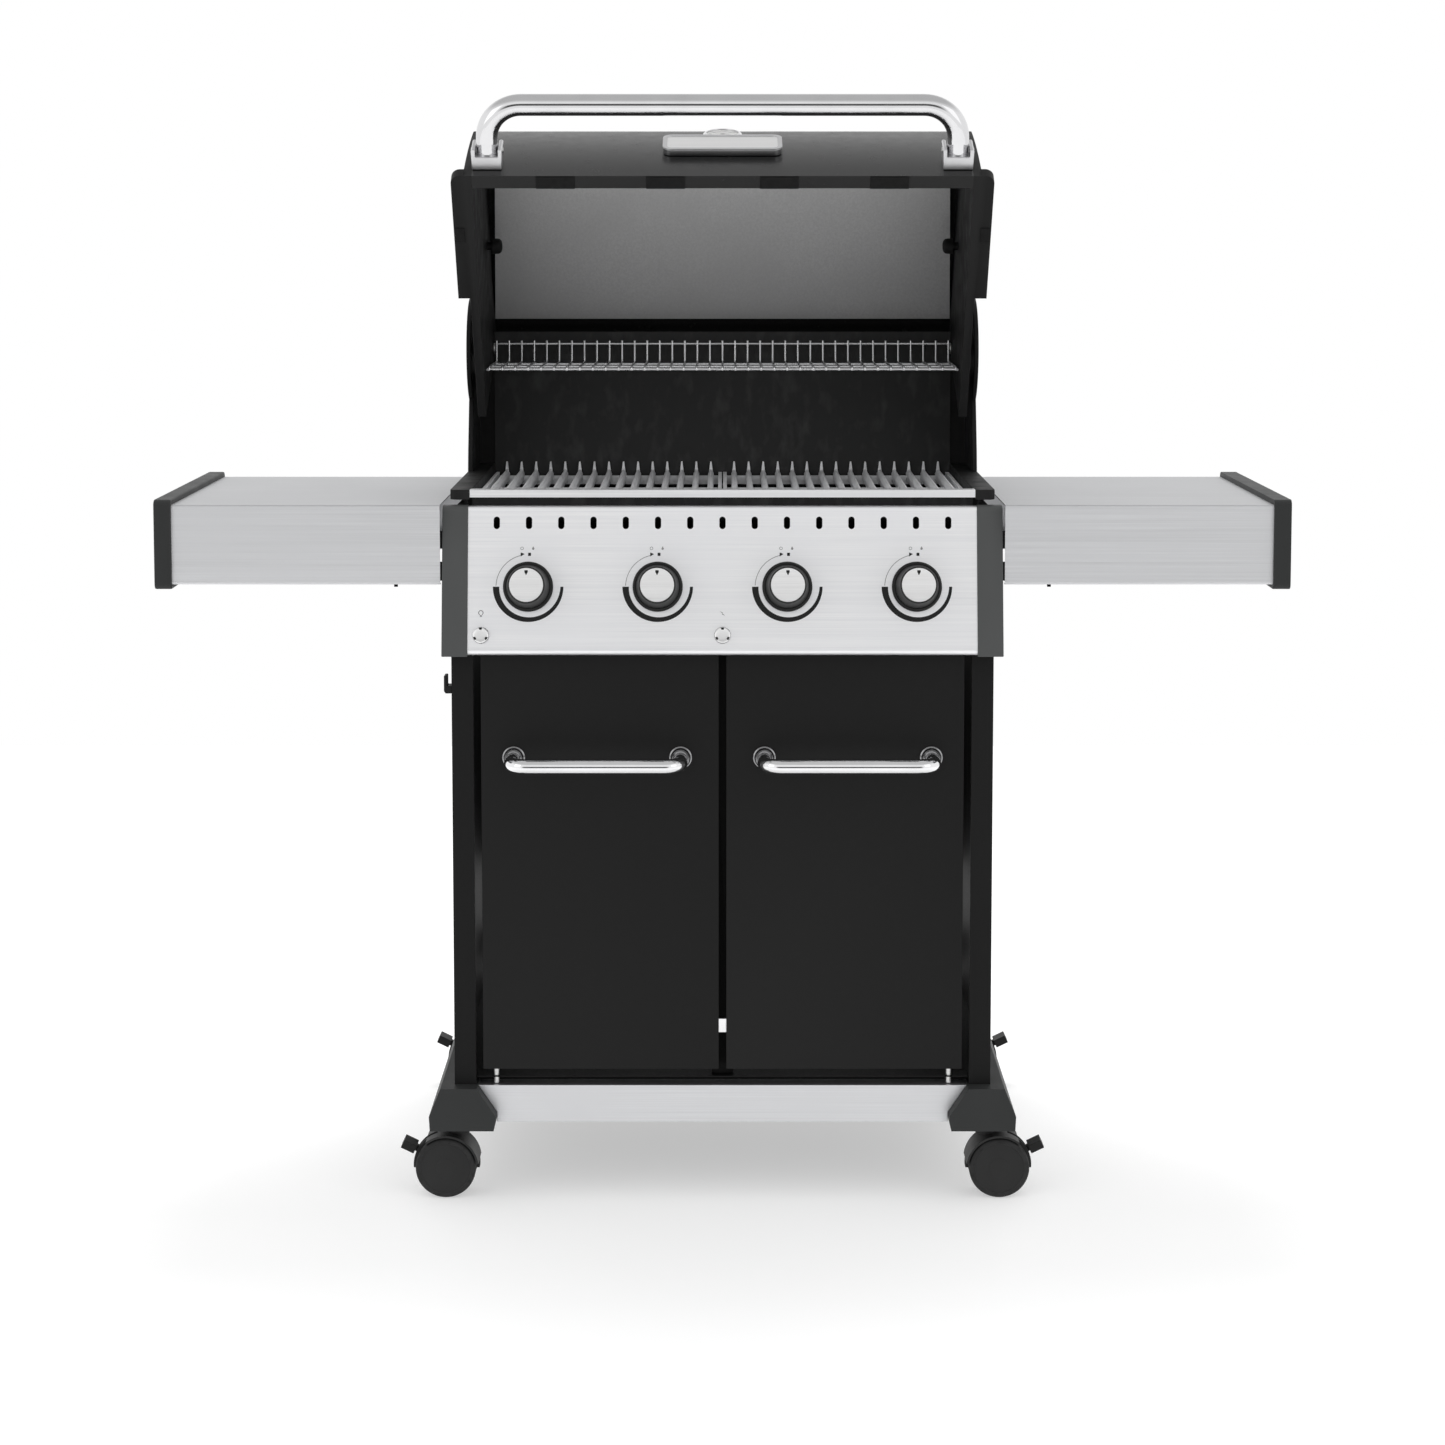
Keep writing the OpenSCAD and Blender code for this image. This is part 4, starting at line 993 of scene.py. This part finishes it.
def make_shelf(side, sign):
    """Folded steel shelf: rolled edges, hemmed skirts, an end wall and two hinge lugs."""
    node = "shelf_" + side
    low, high = extent(node)
    thickness, hem, fold = 1.5, 8, 3
    pivot = Vector(joints[side + "_shelf_fold"]["pos_m"]) / MM
    bm = fresh()
    line = [
        (low.y + hem, low.z), (low.y, low.z), (low.y, high.z), (high.y, high.z), (high.y, low.z),
        (high.y - hem, low.z),
    ]
    sheet(bm, line, thickness, fold, low.x, high.x)
    outer = high.x if sign > 0 else low.x
    wall_x = sorted((outer, outer - sign * thickness))
    block(bm, (wall_x[0], low.y + 1, low.z + 1), (wall_x[1], high.y - 1, high.z - 1))
    hole_r, lug_half, lug_thick, steps = 4.05, 12, 4, 48
    room_above = high.z - 1.2 - pivot.z
    for y in (low.y + 33, high.y - 21):
        hole, edge = [], []
        for k in range(steps):
            turn = 2 * math.pi * (k + 0.5) / steps
            across, up = math.cos(turn), math.sin(turn)
            hole.append((pivot.x + hole_r * across, pivot.z + hole_r * up))
            room = room_above if up > 0 else lug_half
            reach = min(lug_half / max(abs(across), 1e-6), room / max(abs(up), 1e-6))
            edge.append((pivot.x + reach * across, pivot.z + reach * up))
        face = rig((0, (y + lug_thick) * MM, 0), (1, 0, 0), (0, -1, 0))
        ribbon(bm, hole, edge, face, 0, lug_thick, closed=True)
    add_skin(bm, node, shelf_steel)


# ------------------------------------------------------------------ casters


def make_wheel(end, side):
    """Two discs on an axle: grooved tyres round moulded faces with a hub cap."""
    corner = "%s_%s" % (end, side)
    node = "caster_wheel_" + corner
    place = rig(joints["roll_" + corner]["pos_m"], (1, 0, 0), joints["roll_" + corner]["axis"])
    high = extent(node, place)[1]
    radius, outer, inner, disc_r, axle, groove = high.x, high.z, 7.8, 33, 4, 0.6
    tyre = [
        (disc_r, inner), (radius - 2, inner), (radius - groove, inner + 0.8), (radius, inner + 2.2),
        (radius, inner + 7), (radius - groove, inner + 7.5), (radius - groove, inner + 9.3),
        (radius, inner + 9.8), (radius, outer - 3.4), (radius - 1, outer - 1.2), (radius - 3, outer),
        (disc_r, outer - 0.1), (disc_r, inner),
    ]
    disc = [
        (axle, inner), (disc_r, inner), (disc_r, outer - 0.1), (disc_r - 0.8, outer - 0.9),
        (14, outer - 0.9), (13, outer - 0.3), (11.6, outer), (0, outer),
    ]
    tyres, discs = fresh(), fresh()
    for flip in (1, -1):
        lathe(tyres, [(r, h * flip) for r, h in tyre], place)
        lathe(discs, [(r, h * flip) for r, h in disc], place)
    lathe(discs, [(axle, -inner), (axle, inner)], place, 24)
    add_skin(tyres, node, tyre_rubber)
    add_piece(discs, node + "_discs", body_of[node], caster_plastic)


def build():
    """Every piece of the grill."""
    for node, width, material in ROUNDED:
        rounded(node, width, material)
    make_panel()
    make_bezels()
    for number, place in enumerate(knob_places, 1):
        make_knob(number, place)
        make_dial_print(number, place)
    light_place = make_button("light_button")
    spark_place = make_button("ignition_button")
    make_icons(light_place, spark_place)
    make_lid_handle()
    make_badge()
    make_thermometer()
    make_stops()
    make_rack()
    make_catch()
    make_bolts()
    for side, sign in (("left", -1), ("right", 1)):
        make_door_handle(side)
        make_shelf(side, sign)
    for end, side in CORNERS:
        make_wheel(end, side)


build()


# ------------------------------------------------------------------ stage, light and camera


def soft_light(name, place, target, size, energy, mirrored=True):
    """A soft box aimed at target; mirrored says whether glossy surfaces show it."""
    lamp = bpy.data.lights.new(name, "AREA")
    lamp.shape = "RECTANGLE"
    lamp.size, lamp.size_y = size
    lamp.energy = energy
    holder = bpy.data.objects.new(name, lamp)
    holder.location = place
    holder.visible_glossy = mirrored
    holder.rotation_euler = (Vector(target) - Vector(place)).to_track_quat("-Z", "Y").to_euler()
    bpy.context.scene.collection.objects.link(holder)


def make_stage():
    """A pale floor with room for the object's shadow."""
    half_w, front, back, thick, gap = 3500, -2300, 3200, 20, 0.5
    bm = fresh()
    block(bm, (-half_w, front, -thick), (half_w, back, -gap))
    mesh = bpy.data.meshes.new("floor")
    bm.to_mesh(mesh)
    bm.free()
    floor = bpy.data.objects.new("floor", mesh)
    mesh.materials.append(floor_paint("floor_paint"))
    bpy.context.scene.collection.objects.link(floor)


def make_world():
    """White all round. The object also sees a soft dark patch in front and a dimmer ceiling."""
    world = bpy.data.worlds.new("studio")
    world.use_nodes = True
    tree = world.node_tree
    backdrop = tree.nodes["Background"]
    backdrop.inputs["Color"].default_value = (1, 1, 1, 1)
    patch_loss, ceiling_loss = 0.92, 0.42

    def math_node(operation, first, second=0.0):
        made = tree.nodes.new("ShaderNodeMath")
        made.operation = operation
        for socket, value in zip(made.inputs, (first, second)):
            if isinstance(value, (int, float)):
                socket.default_value = value
            else:
                tree.links.new(value, socket)
        return made.outputs[0]

    def step(value, low, high):
        made = tree.nodes.new("ShaderNodeMapRange")
        made.interpolation_type = "SMOOTHSTEP"
        made.inputs["From Min"].default_value = low
        made.inputs["From Max"].default_value = high
        tree.links.new(value, made.inputs["Value"])
        return made.outputs["Result"]

    split = tree.nodes.new("ShaderNodeSeparateXYZ")
    tree.links.new(tree.nodes.new("ShaderNodeTexCoord").outputs["Generated"], split.inputs[0])
    ahead = step(math_node("MULTIPLY", split.outputs["Y"], -1.0), 0.84, 0.96)
    height = math_node("ABSOLUTE", math_node("ADD", split.outputs["Z"], 0.02))
    band = math_node("SUBTRACT", 1.0, step(height, 0.10, 0.24))
    dark = math_node("MULTIPLY", ahead, band)
    rays = tree.nodes.new("ShaderNodeLightPath")
    unseen = math_node("SUBTRACT", 1.0, rays.outputs["Is Camera Ray"])
    patch = math_node("SUBTRACT", 1.0, math_node("MULTIPLY", math_node("MULTIPLY", dark, unseen), patch_loss))
    ceiling = math_node("MULTIPLY", step(split.outputs["Z"], 0.35, 0.8), rays.outputs["Is Glossy Ray"])
    dimmed = math_node("SUBTRACT", 1.0, math_node("MULTIPLY", ceiling, ceiling_loss))
    tree.links.new(math_node("MULTIPLY", patch, dimmed), backdrop.inputs["Strength"])
    bpy.context.scene.world = world


def make_camera():
    """View from straight in front at the height of the open lid, tilted a little downwards."""
    distance, height, tilt_deg = 4.171, 1.2863, 5.3
    lens = bpy.data.cameras.new("camera")
    lens.lens = 76.61
    lens.sensor_width = 36
    lens.shift_y = -0.155
    camera = bpy.data.objects.new("camera", lens)
    camera.location = (0, -distance, height)
    camera.rotation_euler = (math.radians(90 - tilt_deg), 0, 0)
    bpy.context.scene.collection.objects.link(camera)
    bpy.context.scene.camera = camera


make_stage()
make_world()
soft_light("top", (0, 1.0, 3.6), (0, 0, 0.3), (1.9, 1.2), 62, mirrored=False)
soft_light("left", (-3.2, -2.6, 1.9), (0, 0, 0.8), (2.0, 2.4), 7)
soft_light("right", (3.2, -2.6, 1.9), (0, 0, 0.8), (2.0, 2.4), 5)
make_camera()
bpy.context.scene.view_settings.view_transform = "Standard"
